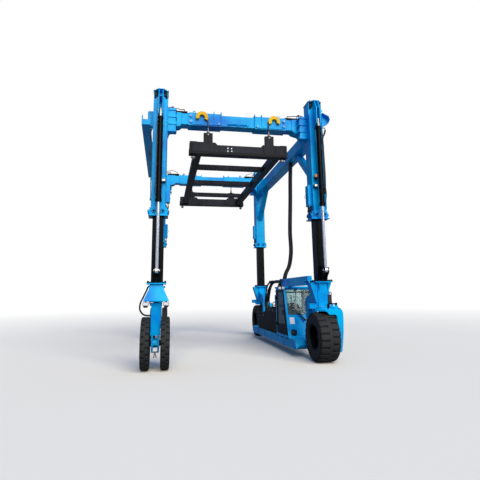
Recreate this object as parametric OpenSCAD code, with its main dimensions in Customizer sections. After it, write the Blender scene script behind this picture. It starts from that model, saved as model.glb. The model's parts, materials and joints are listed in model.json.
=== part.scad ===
// Rubber tyred gantry crane for one short freight container.
// Four telescopic legs on steered wheels carry a lifting frame with two cross beams,
// a side shifting spreader and, between the right legs, a low chassis with the cab.
// Millimetres, +Z up, +X to the right, the open front of the bay faces -Y.
// The origin is on the ground in the middle of the wheels.

/* [Footprint] */
// Middle of the machine to a leg's axis, sideways
leg_x = 1920; // [1850:10:2100]
// Middle of the machine to a leg's axis, lengthways
leg_y = 3100; // [2950:10:3400]
// Height of the bolted joint between a base column and its mast
flange_z = 1825; // [1700:5:2000]

/* [Masts] */
// Width of the square mast tube
mast_w = 250; // [220:5:280]
// Wall of the mast tube
mast_wall = 14; // [8:1:20]
// Length of the mast above the bolted joint
mast_len = 3050; // [2800:10:3100]
// Width of the bolted flange plates
flange_w = 420; // [400:5:480]
// Thickness of each bolted flange plate
flange_t = 25; // [15:1:40]
// Thickness of the slide pads between mast and sleeve
pad_t = 20; // [10:1:22]

/* [Sleeves] */
// Outer width of the lifting sleeve
sleeve_w = 340; // [330:5:380]
// Wall of the lifting sleeve
sleeve_wall = 16; // [10:1:18]
// Height of the sleeve's lower edge above ground
sleeve_z = 3310; // [3250:10:3400]
// Length of the sleeve
sleeve_len = 3030; // [2900:10:3200]
// Width of the collar flange at the sleeve's lower edge
collar_w = 440; // [430:5:480]
// Height of the collar's pad housings
collar_h = 170; // [120:5:220]
// Radius of the round pad covers
cover_r = 46; // [30:1:50]
// How far a pad cover stands out
cover_t = 26; // [15:1:40]
// Thickness of the valve box on the sleeve's inboard face
valve_t = 80; // [60:5:100]
// Width of the valve box
valve_w = 200; // [160:10:240]
// Height of the valve box
valve_h = 520; // [400:10:600]
// Sleeve's lower edge to the foot of the valve box
valve_z = 340; // [300:10:500]

/* [Lift cylinders] */
// Distance of a lift cylinder's axis from the leg's axis
lift_off = 345; // [335:5:380]
// Outer radius of the lift barrel
barrel_r = 62; // [55:1:70]
// Wall of the lift barrel
barrel_wall = 12; // [8:1:15]
// Length of the lift barrel
barrel_len = 2010; // [1900:10:2100]
// Sleeve's head down to the pin that holds the lift barrel
eye_drop = 580; // [520:10:640]
// Radius of the lift rod
lift_rod_r = 33; // [25:1:38]
// Height of the lower pin that holds the lift rod
lift_pin_z = 2080; // [2040:10:2150]
// Radius of the lift cylinder's pins
pin_r = 24; // [18:1:28]
// How far the frame can be lifted above the height it is drawn at
lift_up = 250; // [150:10:300]
// Height of the barrel's gland
gland_h = 80; // [60:5:100]
// Gap between a pin or rod and its bore
pin_gap = 0.5; // [0.3:0.1:1]
// Thickness of each clevis plate
ear_t = 20; // [12:1:25]
// Width of a cylinder's eye between its clevis plates
eye_w = 72; // [60:1:80]

/* [Wheels] */
// Radius of the single tyres on the right
tyre_r = 560; // [540:5:580]
// Width of the single tyres on the right
tyre_w = 470; // [440:5:480]
// How far the single wheel's middle sits inboard of its slewing axis
wheel_in = 30; // [0:5:35]
// Radius of the twin tyres on the left
twin_r = 550; // [530:5:570]
// Width of each twin tyre
twin_w = 190; // [180:5:215]
// Gap between the twin tyres
twin_gap = 228; // [224:2:250]
// Radius of the rims' outer edge
rim_r = 290; // [260:5:310]
// Height of the tread lugs
lug_h = 26; // [15:1:32]
// Number of tread lugs on each side
lug_n = 18; // [14:1:22]
// Share of the tread that the lugs fill
lug_share = 0.78; // [0.6:0.02:0.8]
// Gap that keeps turning pieces clear of fixed ones
run_gap = 14; // [8:1:20]

/* [Wheel mounts] */
// Height of the slewing ring's lower face above ground, right side
slew_z = 1180; // [1180:5:1260]
// Radius of the slewing ring
slew_r = 230; // [200:5:240]
// Thickness of each half of the slewing ring
slew_t = 40; // [30:1:40]
// Radius of the king pin that a wheel mount turns on
king_r = 60; // [50:5:75]
// Height that a king pin reaches into its column
king_h = 120; // [80:10:150]
// Thickness of the yoke's arm beside the tyre
yoke_arm = 190; // [150:5:220]
// Depth of the yoke over the tyre, lengthways
yoke_d = 600; // [500:10:640]
// Thickness of the two cheeks that hold the twin wheels' axle
cheek_t = 34; // [25:1:40]
// Height of the flared skirt's lower edge, left side
skirt_z = 1430; // [1350:5:1480]
// Width of the flared skirt's lower edge
skirt_w = 540; // [500:10:580]
// Width of the narrow leg between the twin tyres
stem_w = 204; // [190:2:208]

/* [Chassis and cab] */
// Width of the low sill beam between the right wheels
sill_w = 470; // [440:10:500]
// Height of the sill beam
sill_h = 220; // [180:10:260]
// Height of the sill beam's underside above ground
sill_z = 200; // [180:10:260]
// Middle of the machine to the sill's inner face
sill_x = 1440; // [1420:10:1480]
// Width of the post that drops from a column to the sill
post_w = 240; // [200:10:260]
// Depth of that post, lengthways
post_d = 200; // [160:10:220]
// Wheel axis to the near face of that post
post_off = 640; // [630:5:680]
// Width of the cab
cab_w = 820; // [780:10:880]
// Middle of the machine to the foot of the cab's front
cab_y = 1870; // [1800:10:2000]
// Length of the cab at its floor
cab_l = 1150; // [1050:10:1250]
// How far the cab's front leans back from foot to roof
cab_rake = 330; // [200:10:400]
// Height of the cab's roof above ground
cab_top = 1740; // [1700:10:1760]
// Side of the cab's square posts
cab_post = 50; // [40:2:70]
// Thickness of the cab door
door_t = 40; // [30:1:48]
// Gap round the cab door
door_gap = 8; // [6:1:12]
// Width of the roof beam from the cab to the front column
roof_w = 110; // [90:5:120]
// Height of that roof beam
roof_h = 220; // [180:5:240]
// Length of the power housing behind the cab
power_l = 2330; // [2200:10:2500]
// Height of the power housing beside the cab
power_h = 740; // [650:10:800]
// Height of the power housing at its rear end
power_low = 340; // [280:10:420]
// Length of the housing's level top
power_flat = 760; // [600:10:1000]
// Radius of the power hoses
hose_r = 36; // [28:1:42]

/* [Lifting frame] */
// Width of the top beams that run lengthways
top_w = 320; // [280:10:330]
// Height of those top beams
top_h = 290; // [250:10:320]
// Underside of those top beams above ground
top_z = 5380; // [5300:10:5450]
// Depth of the cross beams, lengthways
cross_d = 300; // [260:10:320]
// Height of the cross beams
cross_h = 280; // [240:10:300]
// Distance of a cross beam's axis from its legs' axes, lengthways
cross_in = 330; // [325:5:345]
// How far a cross beam stands out past the sleeve
cross_out = 130; // [100:10:200]
// Side of the knee braces under the top beams
knee_w = 150; // [120:10:180]
// Height of the knee brace's foot on the sleeve
knee_z = 4330; // [4200:10:4500]
// Reach of the knee brace along the top beam
knee_y = 1180; // [1000:10:1300]

/* [Side shift] */
// Inner end of a carriage from the middle
carriage_x = 425; // [380:5:450]
// Length of a carriage along its beam
carriage_l = 825; // [780:5:850]
// Wall of the carriage box
carriage_wall = 16; // [12:1:20]
// Gap between carriage and cross beam
slide_gap = 8; // [6:1:10]
// Length of a side shift barrel
shift_len = 450; // [420:10:470]
// Radius of a side shift rod
shift_rod_r = 21; // [16:1:25]
// Radius of the rope guide's outer edge
guide_r = 150; // [130:5:160]
// Middle of the machine to a rope guide's centre
guide_x = 920; // [880:5:940]
// Radius of a hoist rope
rope_r = 14; // [10:1:18]

/* [Spreader] */
// Length between the spreader's lock centres
lock_y = 5853; // [5840:1:5870]
// Width between the spreader's lock centres
lock_x = 2259; // [2250:1:2270]
// Underside of the spreader above ground
spread_z = 4895; // [4850:5:4950]
// Height of the spreader's end beams at mid width
spread_h = 250; // [220:5:280]
// Width of the spreader's end beams, lengthways
spread_d = 220; // [200:5:260]
// Width of the hanger boxes
hanger_w = 220; // [180:5:240]
// Height of the hanger boxes above the beam's raised seats
hanger_h = 240; // [200:5:260]
// Thickness of the landing pads beside each twist lock
land_t = 8; // [5:1:12]
// Spreader's middle to its outer cross ties, lengthways
tie_y = 1600; // [1400:10:1800]

/* [Hose tray] */
// Width of the hose tray outboard of the left legs
tray_w = 200; // [160:10:220]
// Height of the hose tray
tray_h = 130; // [100:10:160]
// Underside of the hose tray above ground
tray_z = 5460; // [5400:10:5500]
// Length of the hose tray
tray_l = 4500; // [4200:50:5000]

/* [Hidden] */
$fn = 48;
blue = "#0f8ff0";
navy = "#0a4fb8";
black = "#16181c";
grey = "#50555f";
chrome = "#d8dade";
yellow = "#f2c31b";
rubber = "#26282a";
glass = [0.7, 0.85, 0.92, 0.4];

mast_top = flange_z + mast_len;
sleeve_top = sleeve_z + sleeve_len;
eye_neck = 150;
lift_eye_z = sleeve_top - eye_drop;
barrel_z = lift_eye_z - eye_neck - barrel_len;
ear_in = max(eye_w / 2, lift_rod_r) + pin_gap;
pin_len = 2 * ear_in + 2 * ear_t + 24;
cross_y = leg_y - cross_in;
sleeve_in = sleeve_w - 2 * sleeve_wall;
top_face = top_z + top_h;
saddle_t = 20;
cross_z = top_face + saddle_t;
cross_top = cross_z + cross_h;
cross_end = leg_x + sleeve_w / 2 + cross_out;
post_y0 = post_off + post_d;
sill_end = leg_y - post_off;
cab_x0 = sill_x + 10;
cab_y0 = -cab_y;
cab_floor = sill_z + sill_h;
cab_h = cab_top - 40 - cab_floor;
cab_rear = cab_y0 + cab_l;
door_rear = cab_rear - cab_post - door_gap;
ring_top = slew_z + slew_t;
arm_in = tyre_w / 2 - wheel_in + 26;
arm_out = arm_in + yoke_arm;
panel_top = cab_floor + 0.45 * cab_h;
door_sill = cab_floor + 0.2 * cab_h;
roof_end = cab_rear - 240;
door_pin_x = cab_x0 - 14;
door_pin_y = door_rear + 4;
knuckle_h = 90;
door_hinges = [cab_floor + 0.2 * cab_h, cab_floor + 0.75 * cab_h];
carriage_h = cross_h + 2 * (slide_gap + carriage_wall);
carriage_d = cross_d + 2 * (slide_gap + carriage_wall);
carriage_z = cross_z - slide_gap - carriage_wall;
carriage_face = cross_y + carriage_d / 2;
shift_z = cross_top + 85;
shift_eye_x = carriage_x + carriage_l - 150;
rope_x = guide_x - guide_r;
rope_y = carriage_face + 45;
axle_right = tyre_r;
axle_left = twin_r;
spread_top = spread_z + spread_h;
seat_h = 60;
hanger_top = spread_top + seat_h + hanger_h;

// Puts a child drawn about a leg's axis onto one of the four legs. In the child's own
// frame +X points away from the machine's middle and +Y towards the nearer open end.
module at_leg(sx, sy) {
    translate([sx * leg_x, sy * leg_y, 0])
        mirror([sx < 0 ? 1 : 0, 0, 0]) mirror([0, sy < 0 ? 1 : 0, 0]) children();
}

// Puts a child drawn at the middle of the machine onto the front or the rear end.
module at_end(sy) {
    mirror([0, sy < 0 ? 1 : 0, 0]) children();
}

// A block centred on X and Y that stands on height z.
module block(w, d, h, z = 0) {
    translate([-w / 2, -d / 2, z]) cube([w, d, h]);
}

// A square tube that stands on height z.
module tube(w, wall, h, z) {
    difference() {
        block(w, w, h, z);
        block(w - 2 * wall, w - 2 * wall, h + 2, z - 1);
    }
}

// An outline in the Y-Z plane, t thick and centred on X.
module side_plate(t, points) {
    translate([t / 2, 0, 0]) rotate([90, 0, -90]) mirror([1, 0, 0])
        linear_extrude(height = t) polygon(points);
}

// An outline in the X-Z plane, t thick and centred on Y.
module face_plate(t, points) {
    translate([0, t / 2, 0]) rotate([90, 0, 0]) linear_extrude(height = t) polygon(points);
}

// A round bar along X, centred on X.
module bar_x(r, l) {
    rotate([0, 90, 0]) cylinder(r = r, h = l, center = true);
}

// A round bar along Y, centred on Y.
module bar_y(r, l) {
    rotate([90, 0, 0]) cylinder(r = r, h = l, center = true);
}

// Mast: the square inner tube with its bolted foot, the bracket that holds the lift rod
// and the slide pads at its top end.
module mast() {
    color(black) {
        difference() {
            union() {
                tube(mast_w, mast_wall, mast_len, flange_z);
                block(flange_w, flange_w, flange_t, flange_z);
            }
            block(mast_w - 2 * mast_wall, mast_w - 2 * mast_wall, mast_len, flange_z + flange_t);
        }
        for (a = [0 : 90 : 270]) rotate([0, 0, a])
            translate([0, mast_w / 2 + pad_t / 2, 0]) block(mast_w * 0.6, pad_t, 200, mast_top - 220);
        for (s = [-1, 1]) difference() {
            translate([s * (ear_in + ear_t / 2), 0, 0]) side_plate(ear_t, [
                [mast_w / 2, flange_z + flange_t], [flange_w / 2, flange_z + flange_t],
                [lift_off + 60, lift_pin_z - 60], [lift_off + 60, lift_pin_z + 60],
                [lift_off - 60, lift_pin_z + 60], [mast_w / 2, lift_pin_z + 130]]);
            translate([0, lift_off, lift_pin_z]) bar_x(pin_r, 400);
        }
        translate([0, mast_w / 2 + 20, 0]) block(2 * ear_in, 40, 200, flange_z + flange_t);
    }
}

// Lift rod: chromed, with its eye and pin at the foot and its piston in the barrel.
module lift_rod() {
    piston_z = barrel_z + gland_h + lift_up + 30;
    color(chrome) translate([0, lift_off, 0]) {
        translate([0, 0, lift_pin_z]) bar_x(56, eye_w);
        translate([0, 0, lift_pin_z]) cylinder(r = lift_rod_r, h = piston_z - lift_pin_z);
        translate([0, 0, piston_z]) cylinder(r = barrel_r - barrel_wall - pin_gap, h = 90);
        translate([0, 0, lift_pin_z]) bar_x(pin_r, pin_len);
    }
}

// Lifting sleeve: the square outer tube, the collar with its pad housings and round
// covers at the foot, the valve box inboard, and at the head the hood plate and the two
// bracket plates that carry the lift cylinder.
module sleeve() {
    half = sleeve_w / 2;
    bracket_foot = lift_eye_z - 180;
    hood_out = lift_off - 45;
    color(blue) {
        tube(sleeve_w, sleeve_wall, sleeve_len, sleeve_z);
        difference() {
            block(collar_w, collar_w, 25, sleeve_z);
            block(sleeve_in, sleeve_in, 40, sleeve_z - 5);
        }
        for (a = [0 : 90 : 270]) rotate([0, 0, a]) {
            for (s = [-1, 1]) {
                translate([s * 100, half + 15, 0]) block(110, 30, collar_h, sleeve_z + 25);
                translate([s * 100, half + 30 + cover_t / 2, sleeve_z + 25 + collar_h / 2])
                    bar_y(cover_r, cover_t);
            }
            translate([0, sleeve_in / 2 - pad_t / 2, 0]) block(mast_w * 0.7, pad_t, 180, sleeve_z + 10);
        }
        translate([-half - valve_t / 2, 0, 0]) block(valve_t, valve_w, valve_h, sleeve_z + valve_z);
        for (s = [-1, 1]) difference() {
            translate([s * (ear_in + ear_t / 2), 0, 0]) side_plate(ear_t, [
                [half, bracket_foot], [lift_off - 40, bracket_foot + 100],
                [lift_off + 55, bracket_foot + 100], [lift_off + 55, lift_eye_z + 330],
                [lift_off - 60, sleeve_top - 14], [half, sleeve_top - 14]]);
            translate([0, lift_off, lift_eye_z]) bar_x(pin_r, 400);
        }
        translate([0, 0, sleeve_top - 16]) linear_extrude(height = 16) polygon([[-half, half],
            [-ear_in - ear_t - 12, hood_out], [ear_in + ear_t + 12, hood_out], [half, half]]);
        translate([0, (lift_off + half) / 2 - 10, 0])
            block(2 * ear_in, lift_off - half - 30, 14, lift_eye_z + 330);
        for (s = [-1, 1]) translate([s * (half - 8), half + 14, 0])
            block(16, 28, sleeve_len - collar_h - 420, sleeve_z + collar_h + 60);
    }
}

// Cap: the dark cover that closes a sleeve's head.
module sleeve_cap() {
    color(black) {
        block(sleeve_w + 20, sleeve_w + 20, 14, sleeve_top);
        block(mast_w, mast_w, 50, sleeve_top + 14);
    }
}

// Lift barrel with its gland, open below for the rod.
module lift_barrel() {
    color(black) translate([0, lift_off, 0]) difference() {
        union() {
            translate([0, 0, barrel_z]) cylinder(r = barrel_r, h = barrel_len);
            translate([0, 0, barrel_z]) cylinder(r = barrel_r + 10, h = gland_h);
            translate([0, 0, barrel_z + barrel_len - 60]) cylinder(r = barrel_r + 8, h = 60);
        }
        translate([0, 0, barrel_z - 1]) cylinder(r = lift_rod_r + pin_gap, h = gland_h + 2);
        translate([0, 0, barrel_z + gland_h])
            cylinder(r = barrel_r - barrel_wall, h = barrel_len - gland_h - 40);
    }
}

// Eye on top of the lift barrel, with its pin.
module barrel_eye() {
    color(chrome) translate([0, lift_off, 0]) {
        face_top = barrel_z + barrel_len;
        intersection() {
            translate([0, 0, face_top]) cylinder(r1 = barrel_r, r2 = 40, h = eye_neck + 60);
            block(eye_w, 2 * barrel_r, eye_neck + 55, face_top);
        }
        translate([0, 0, lift_eye_z]) bar_x(pin_r, pin_len);
    }
}

// Right column: the bolted head, the tapered box that stands on the slewing ring, and the
// arm that reaches over the wheel and drops to the sill.
module right_column() {
    head = flange_z - flange_t;
    box_w = 280;
    color(blue) difference() {
        union() {
            block(flange_w, flange_w, flange_t, head);
            block(box_w, box_w, head - ring_top - 30, ring_top + 30);
            translate([0, 0, ring_top]) cylinder(r = slew_r - 15, h = 30);
            face_plate(post_w, [[-box_w / 2, head], [-box_w / 2 - 160, head],
                [-box_w / 2 - 160, head - 60], [-box_w / 2 - 20, ring_top + 60],
                [-box_w / 2, ring_top + 60]]);
            for (a = [0 : 90 : 270]) rotate([0, 0, a]) for (s = [-1, 1])
                translate([s * 110, 0, 0]) side_plate(14, [[box_w / 2, head],
                    [flange_w / 2 - 8, head], [flange_w / 2 - 8, head - 30],
                    [box_w / 2, head - 200]]);
            side_plate(post_w, [[-box_w / 2, ring_top + 40], [-post_off - 10, ring_top - 10],
                [-post_off, ring_top - 40], [-post_off, cab_floor], [-post_y0, cab_floor],
                [-post_y0, ring_top + 130], [-post_y0 + 80, ring_top + 220],
                [-box_w / 2, head - 170]]);
        }
        translate([0, 0, ring_top - 1]) cylinder(r = king_r + pin_gap, h = king_h + 6);
    }
}

// Sill: the low box beam between the right wheels, with its sloped toes.
module right_sill() {
    toe = 120;
    color(navy) difference() {
        translate([sill_x, -sill_end, sill_z]) cube([sill_w + 150, 2 * sill_end, sill_h]);
        for (s = [-1, 1]) translate([0, s * sill_end, sill_z])
            rotate([45, 0, 0]) translate([sill_x - 10, -toe / 2, -toe / 2])
                cube([sill_w + 200, toe, toe]);
    }
}

// Yoke: turns under the slewing ring, reaches over the tyre with a lipped plate and
// carries the stub axle on its tapered outer arm.
module right_yoke() {
    low = slew_z - slew_t;
    plate_top = low + 50;
    foot = axle_right - 330;
    lip = 80;
    color(blue) {
        translate([0, 0, low]) cylinder(r = slew_r, h = 2 * slew_t - 6);
        translate([0, 0, slew_z]) cylinder(r = king_r, h = slew_t + king_h);
        difference() {
            face_plate(yoke_d, [[-slew_r + 20, low], [-slew_r + 20, plate_top],
                [arm_out - 70, plate_top], [arm_out, plate_top - 80], [arm_out, axle_right + 60],
                [arm_out - 60, foot], [arm_in + 40, foot], [arm_in, foot + 150],
                [arm_in, low - 50], [arm_in - 50, low]]);
            for (s = [-1, 1]) translate([arm_in, s * (yoke_d / 2 + 40), foot - 10])
                rotate([s * 14, 0, 0]) block(600, 200, low - foot + 400, -300);
            for (s = [-1, 1]) translate([-slew_r - 60, s * yoke_d / 2, low - 10])
                rotate([0, 0, -s * 45]) cube([300, 300, 200], center = true);
        }
        for (s = [-1, 1]) translate([arm_in / 2 + 10, s * (yoke_d / 2 - 10), 0])
            block(arm_in - 20, 20, lip, low - lip + 10);
        translate([arm_in - 10, 0, axle_right]) bar_x(90, 40);
        translate([arm_in / 2 - 20, 0, axle_right]) bar_x(50, arm_in + 40);
        for (s = [-1, 1]) translate([arm_out - 110, s * 60, 0]) face_plate(16, [[-50, plate_top],
            [-50, plate_top + 130], [-20, plate_top + 130], [50, plate_top]]);
    }
}

// Single tyre: a crowned carcass with two rows of staggered blocks beside a centre band.
module tyre(r, w, n) {
    base = r - lug_h;
    color(rubber) {
        rotate([0, 90, 0]) rotate_extrude($fn = 72) polygon([
            [rim_r, -w / 2 + 30], [rim_r + 60, -w / 2 + 6], [base - 110, -w / 2],
            [base - 30, -w / 2 + 22], [base, -w / 2 + 60], [base, -w * 0.08],
            [r - 5, -w * 0.08], [r - 5, w * 0.08], [base, w * 0.08], [base, w / 2 - 60],
            [base - 30, w / 2 - 22], [base - 110, w / 2], [rim_r + 60, w / 2 - 6],
            [rim_r, w / 2 - 30]]);
        intersection() {
            bar_x(r, w - 16);
            for (i = [0 : n - 1], s = [-1, 1]) rotate([(i + (s > 0 ? 0.5 : 0)) * 360 / n, 0, 0])
                translate([s * w * 0.25, 0, base - 8]) rotate([0, 0, s * 6])
                    block(w * 0.44, 2 * PI * r / n * lug_share, lug_h + 20);
        }
    }
}

// Rim: a steel barrel with a pierced disc and a hub that runs on the stub axle.
module rim(w) {
    hub_end = w / 2 - 20 + wheel_in;
    color(black) rotate([0, 90, 0]) difference() {
        union() {
            rotate_extrude($fn = 72) translate([rim_r - 20, 34 - w / 2]) square([20, w - 68]);
            translate([0, 0, 10]) cylinder(r = rim_r - 10, h = 24);
            translate([0, 0, -50]) cylinder(r = 110, h = hub_end);
            translate([0, 0, -80]) cylinder(r = 70, h = 40);
        }
        translate([0, 0, -30]) cylinder(r = 50 + pin_gap, h = w);
        for (i = [0 : 9]) rotate([0, 0, i * 36]) translate([195, 0, 0]) cylinder(r = 24, h = 60);
    }
}

// Left column: the bolted head and the flared skirt over the twin wheels.
module left_column() {
    head = flange_z - flange_t;
    color(blue) difference() {
        union() {
            block(flange_w, flange_w, flange_t, head);
            hull() {
                block(290, 290, 10, head - 10);
                block(330, 330, 10, head - 130);
            }
            hull() {
                block(330, 330, 10, head - 130);
                block(skirt_w, skirt_w, 20, skirt_z);
            }
            block(300, 300, 20, skirt_z - 20);
        }
        translate([0, 0, skirt_z - 21]) cylinder(r = king_r + pin_gap, h = king_h + 6);
    }
}

// Left fork: the narrow leg that turns under the skirt, with a ledge and two cheeks below
// it that hold the axle between the twin tyres.
module left_fork() {
    top = skirt_z - 20 - run_gap;
    ledge = axle_left + 200;
    cheek_x = 66;
    foot = axle_left - 190;
    color(navy) difference() {
        union() {
            block(stem_w + 60, 300, 60, top - 60);
            block(stem_w, 280, top - 60 - ledge, ledge);
            block(stem_w + 8, 330, 70, ledge - 30);
            for (s = [-1, 1]) translate([s * cheek_x, 0, 0]) side_plate(cheek_t, [
                [-150, ledge - 30], [-150, foot + 120], [-90, foot], [90, foot],
                [150, foot + 120], [150, ledge - 30]]);
            for (s = [-1, 1]) translate([0, s * 130, 0])
                block(2 * cheek_x, 24, 45, axle_left - 30);
            translate([0, 0, axle_left]) bar_x(95, 2 * cheek_x);
            translate([0, 0, top - 1]) cylinder(r = king_r, h = run_gap + king_h + 1);
        }
        translate([0, 0, axle_left]) bar_x(60 + pin_gap, 600);
    }
}

// Puts a wheel drawn about its own axle into the right leg's frame.
module single_wheel() {
    translate([-wheel_in, 0, axle_right]) children();
}

// Twin tyres: two narrow tyres on one axle.
module twin_tyres() {
    for (s = [-1, 1]) translate([s * (twin_gap + twin_w) / 2, 0, axle_left])
        tyre(twin_r, twin_w, lug_n);
}

// Twin rims on their through axle.
module twin_rims() {
    color(black) translate([0, 0, axle_left]) {
        bar_x(60, twin_gap + 2 * twin_w - 120);
        for (s = [-1, 1]) translate([s * (twin_gap + twin_w) / 2, 0, 0]) rotate([0, 90, 0])
            difference() {
                cylinder(r = rim_r, h = twin_w - 80, center = true);
                for (t = [-1, 1]) translate([0, 0, t * (twin_w / 2 - 30)])
                    cylinder(r = rim_r - 50, h = 60, center = true);
                for (i = [0 : 7]) rotate([0, 0, i * 45]) translate([150, 0, 0])
                    cylinder(r = 24, h = 300, center = true);
            }
    }
}

// Cross beam: a box beam that sits on the two top beams, with taller ends and the
// stiffened boxes that tie it to the sleeves.
module cross_beam() {
    tie_x = leg_x - sleeve_w / 2;
    root_x = carriage_x + carriage_l + 150;
    face = cross_y + cross_d / 2;
    color(blue) {
        translate([-cross_end, cross_y - cross_d / 2, cross_z]) cube([2 * cross_end, cross_d, cross_h]);
        for (s = [-1, 1]) mirror([s < 0 ? 1 : 0, 0, 0]) {
            translate([leg_x - top_w / 2, cross_y - cross_d / 2, top_face])
                cube([top_w, cross_d, saddle_t]);
            translate([0, cross_y, 0]) face_plate(cross_d, [[root_x, cross_z],
                [root_x + 60, cross_z - 50], [tie_x - 140, cross_z - 90],
                [tie_x - 40, cross_z - 200], [tie_x, cross_z - 320], [tie_x, cross_z],
                [leg_x, cross_z + 10], [leg_x, cross_top + 20], [root_x + 60, cross_top + 20],
                [root_x, cross_top]]);
            translate([tie_x - 95, face + 85, 0])
                block(190, 170, cross_h + 330, cross_z - 290);
            for (i = [0 : 3]) translate([tie_x - 105, face + 95, 0])
                block(210, 190, 16, cross_z - 280 + i * 180);
        }
    }
}

// Top beam: joins the front and rear sleeves of one side, braced by a knee at each end.
module top_beam() {
    end_y = leg_y - sleeve_w / 2;
    color(blue) translate([leg_x, 0, 0]) {
        translate([-top_w / 2, -end_y, top_z]) cube([top_w, 2 * end_y, top_h]);
        for (s = [-1, 1]) mirror([0, s < 0 ? 1 : 0, 0]) side_plate(knee_w, [
            [end_y, knee_z], [end_y, knee_z + knee_w * 1.5], [end_y - knee_y + knee_w * 1.5, top_z],
            [end_y - knee_y, top_z]]);
    }
}

// Carriage: a box that slides along the cross beam, with round pad covers, the ribs on
// its inner end and the eye for the side shift rod.
module carriage() {
    color(blue) {
        difference() {
            translate([carriage_x, cross_y - carriage_d / 2, carriage_z])
                cube([carriage_l, carriage_d, carriage_h]);
            translate([carriage_x - 1, cross_y - cross_d / 2 - slide_gap, cross_z - slide_gap])
                cube([carriage_l + 2, cross_d + 2 * slide_gap, cross_h + 2 * slide_gap]);
        }
        for (x = [carriage_x, carriage_x + 180]) translate([x, cross_y, 0]) {
            translate([0, -carriage_d / 2, carriage_z + carriage_h]) cube([16, carriage_d, 60]);
            translate([0, carriage_d / 2, carriage_z + 40]) cube([16, 20, carriage_h - 40]);
        }
        for (p = [[carriage_x + carriage_l - 60, 240], [carriage_x + carriage_l - 60, 90],
            [carriage_x + 70, 60]])
            translate([p[0], carriage_face + cover_t / 2, carriage_z + p[1]])
                bar_y(cover_r - 6, cover_t);
        translate([shift_eye_x, cross_y, carriage_z + carriage_h]) for (s = [-1, 1])
            translate([0, s * 40, 0]) block(70, 20, 105);
    }
}

// Rope guide: a curved yellow saddle on the carriage's face.
module rope_guide() {
    color(yellow) translate([guide_x, carriage_face, carriage_z + carriage_h * 0.6])
        rotate([-90, 0, 0]) difference() {
            rotate([0, 0, -210]) rotate_extrude(angle = 230, $fn = 64)
                translate([(guide_r + 70) / 2, 35]) square([guide_r - 70, 70], center = true);
            rotate([0, 0, -220]) rotate_extrude(angle = 250, $fn = 64)
                translate([guide_r, 45]) circle(r = rope_r + 4, $fn = 24);
        }
}

// Hoist rope: falls from the rope guide to the hanger on the spreader.
module hoist_rope() {
    color(black) translate([rope_x, rope_y, hanger_top])
        cylinder(r = rope_r, h = carriage_z + carriage_h * 0.6 - hanger_top - 20, $fn = 16);
}

// Side shift cylinder: the barrel on the cross beam's end.
module shift_barrel() {
    x0 = carriage_x + carriage_l + 20;
    color(black) translate([0, cross_y, 0]) {
        difference() {
            translate([x0, 0, shift_z]) rotate([0, 90, 0]) cylinder(r = 40, h = shift_len);
            translate([x0 - 1, 0, shift_z]) rotate([0, 90, 0])
                cylinder(r = shift_rod_r + pin_gap, h = shift_len - 19);
        }
        translate([x0 + shift_len - 30, 0, 0])
            block(60, 90, shift_z - cross_top - 20, cross_top + 20);
    }
}

// Side shift rod: from the barrel to the eye on the carriage.
module shift_rod() {
    color(chrome) translate([shift_eye_x, cross_y, shift_z]) {
        bar_y(34, 60);
        rotate([0, 90, 0]) cylinder(r = shift_rod_r, h = shift_len - 110);
    }
}

// Spreader end beam: a deep plate beam with raised seats under its hanger boxes, and
// landing pads beside each twist lock that bear on the corner castings.
module spreader_end() {
    half = lock_x / 2 + 90;
    h0 = spread_top;
    low = spread_z + land_t;
    inner = rope_x - hanger_w / 2 - 60;
    color(grey) translate([0, lock_y / 2, 0]) {
        for (sx = [-1, 1], sy = [-1, 1]) translate([sx * lock_x / 2, sy * 62, 0])
            block(150, 52, land_t + 2, spread_z);
        face_plate(spread_d, [[-half, low], [half, low], [half, h0 + seat_h],
            [inner, h0 + seat_h], [inner - 60, h0], [60 - inner, h0],
            [-inner, h0 + seat_h], [-half, h0 + seat_h]]);
        for (s = [-1, 1]) translate([s * rope_x, rope_y - lock_y / 2, 0])
            block(hanger_w, 90, hanger_h, h0 + seat_h);
    }
}

// Spreader side beams: two box beams between the end beams, with cross ties.
module spreader_sides() {
    reach = lock_y / 2 - spread_d / 2;
    color(grey) {
        for (s = [-1, 1]) translate([s * (lock_x / 2 - 120), 0, 0])
            block(180, 2 * reach, spread_h - 60, spread_z + 40);
        for (y = [-tie_y, 0, tie_y]) translate([0, y, 0])
            block(lock_x - 240, 160, 120, spread_z + 60);
    }
}

// Twist locks: the four turned heads under the corners of the spreader.
module twist_locks() {
    color(black) for (sx = [-1, 1], sy = [-1, 1])
        translate([sx * lock_x / 2, sy * lock_y / 2, 0]) {
            translate([0, 0, spread_z - 40]) cylinder(r = 28, h = 40 + land_t);
            translate([0, 0, spread_z - 60]) block(100, 56, 22);
            hull() {
                block(100, 56, 2, spread_z - 60);
                block(40, 30, 2, spread_z - 105);
            }
        }
}

// Hose tray: a shallow channel outboard of the left legs, hung on two brackets.
module hose_tray() {
    x1 = -(leg_x + sleeve_w / 2 + 60);
    y0 = -(leg_y + 200);
    color(navy) {
        difference() {
            translate([x1 - tray_w, y0, tray_z]) cube([tray_w, tray_l, tray_h]);
            translate([x1 - tray_w + 12, y0 + 12, tray_z + 12])
                cube([tray_w - 24, tray_l - 24, tray_h]);
        }
        for (x = [x1 - tray_w, x1 - 20]) translate([x, y0, tray_z + tray_h])
            cube([20, 120, 110]);
        translate([x1, -leg_y - 80, tray_z + 20]) cube([60, 160, tray_h - 20]);
        translate([x1, y0 + tray_l - 220, tray_z + 30]) cube([70, 160, tray_h - 40]);
    }
}

// An outline of the cab's side in the Y-Z plane, inset by d, from height a to height b.
function cab_side(d, a, b) = [
    [cab_y0 + cab_rake * (a - cab_floor) / cab_h + d, a],
    [cab_y0 + cab_rake * (b - cab_floor) / cab_h + d, b], [cab_rear - d, b], [cab_rear - d, a]];

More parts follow.
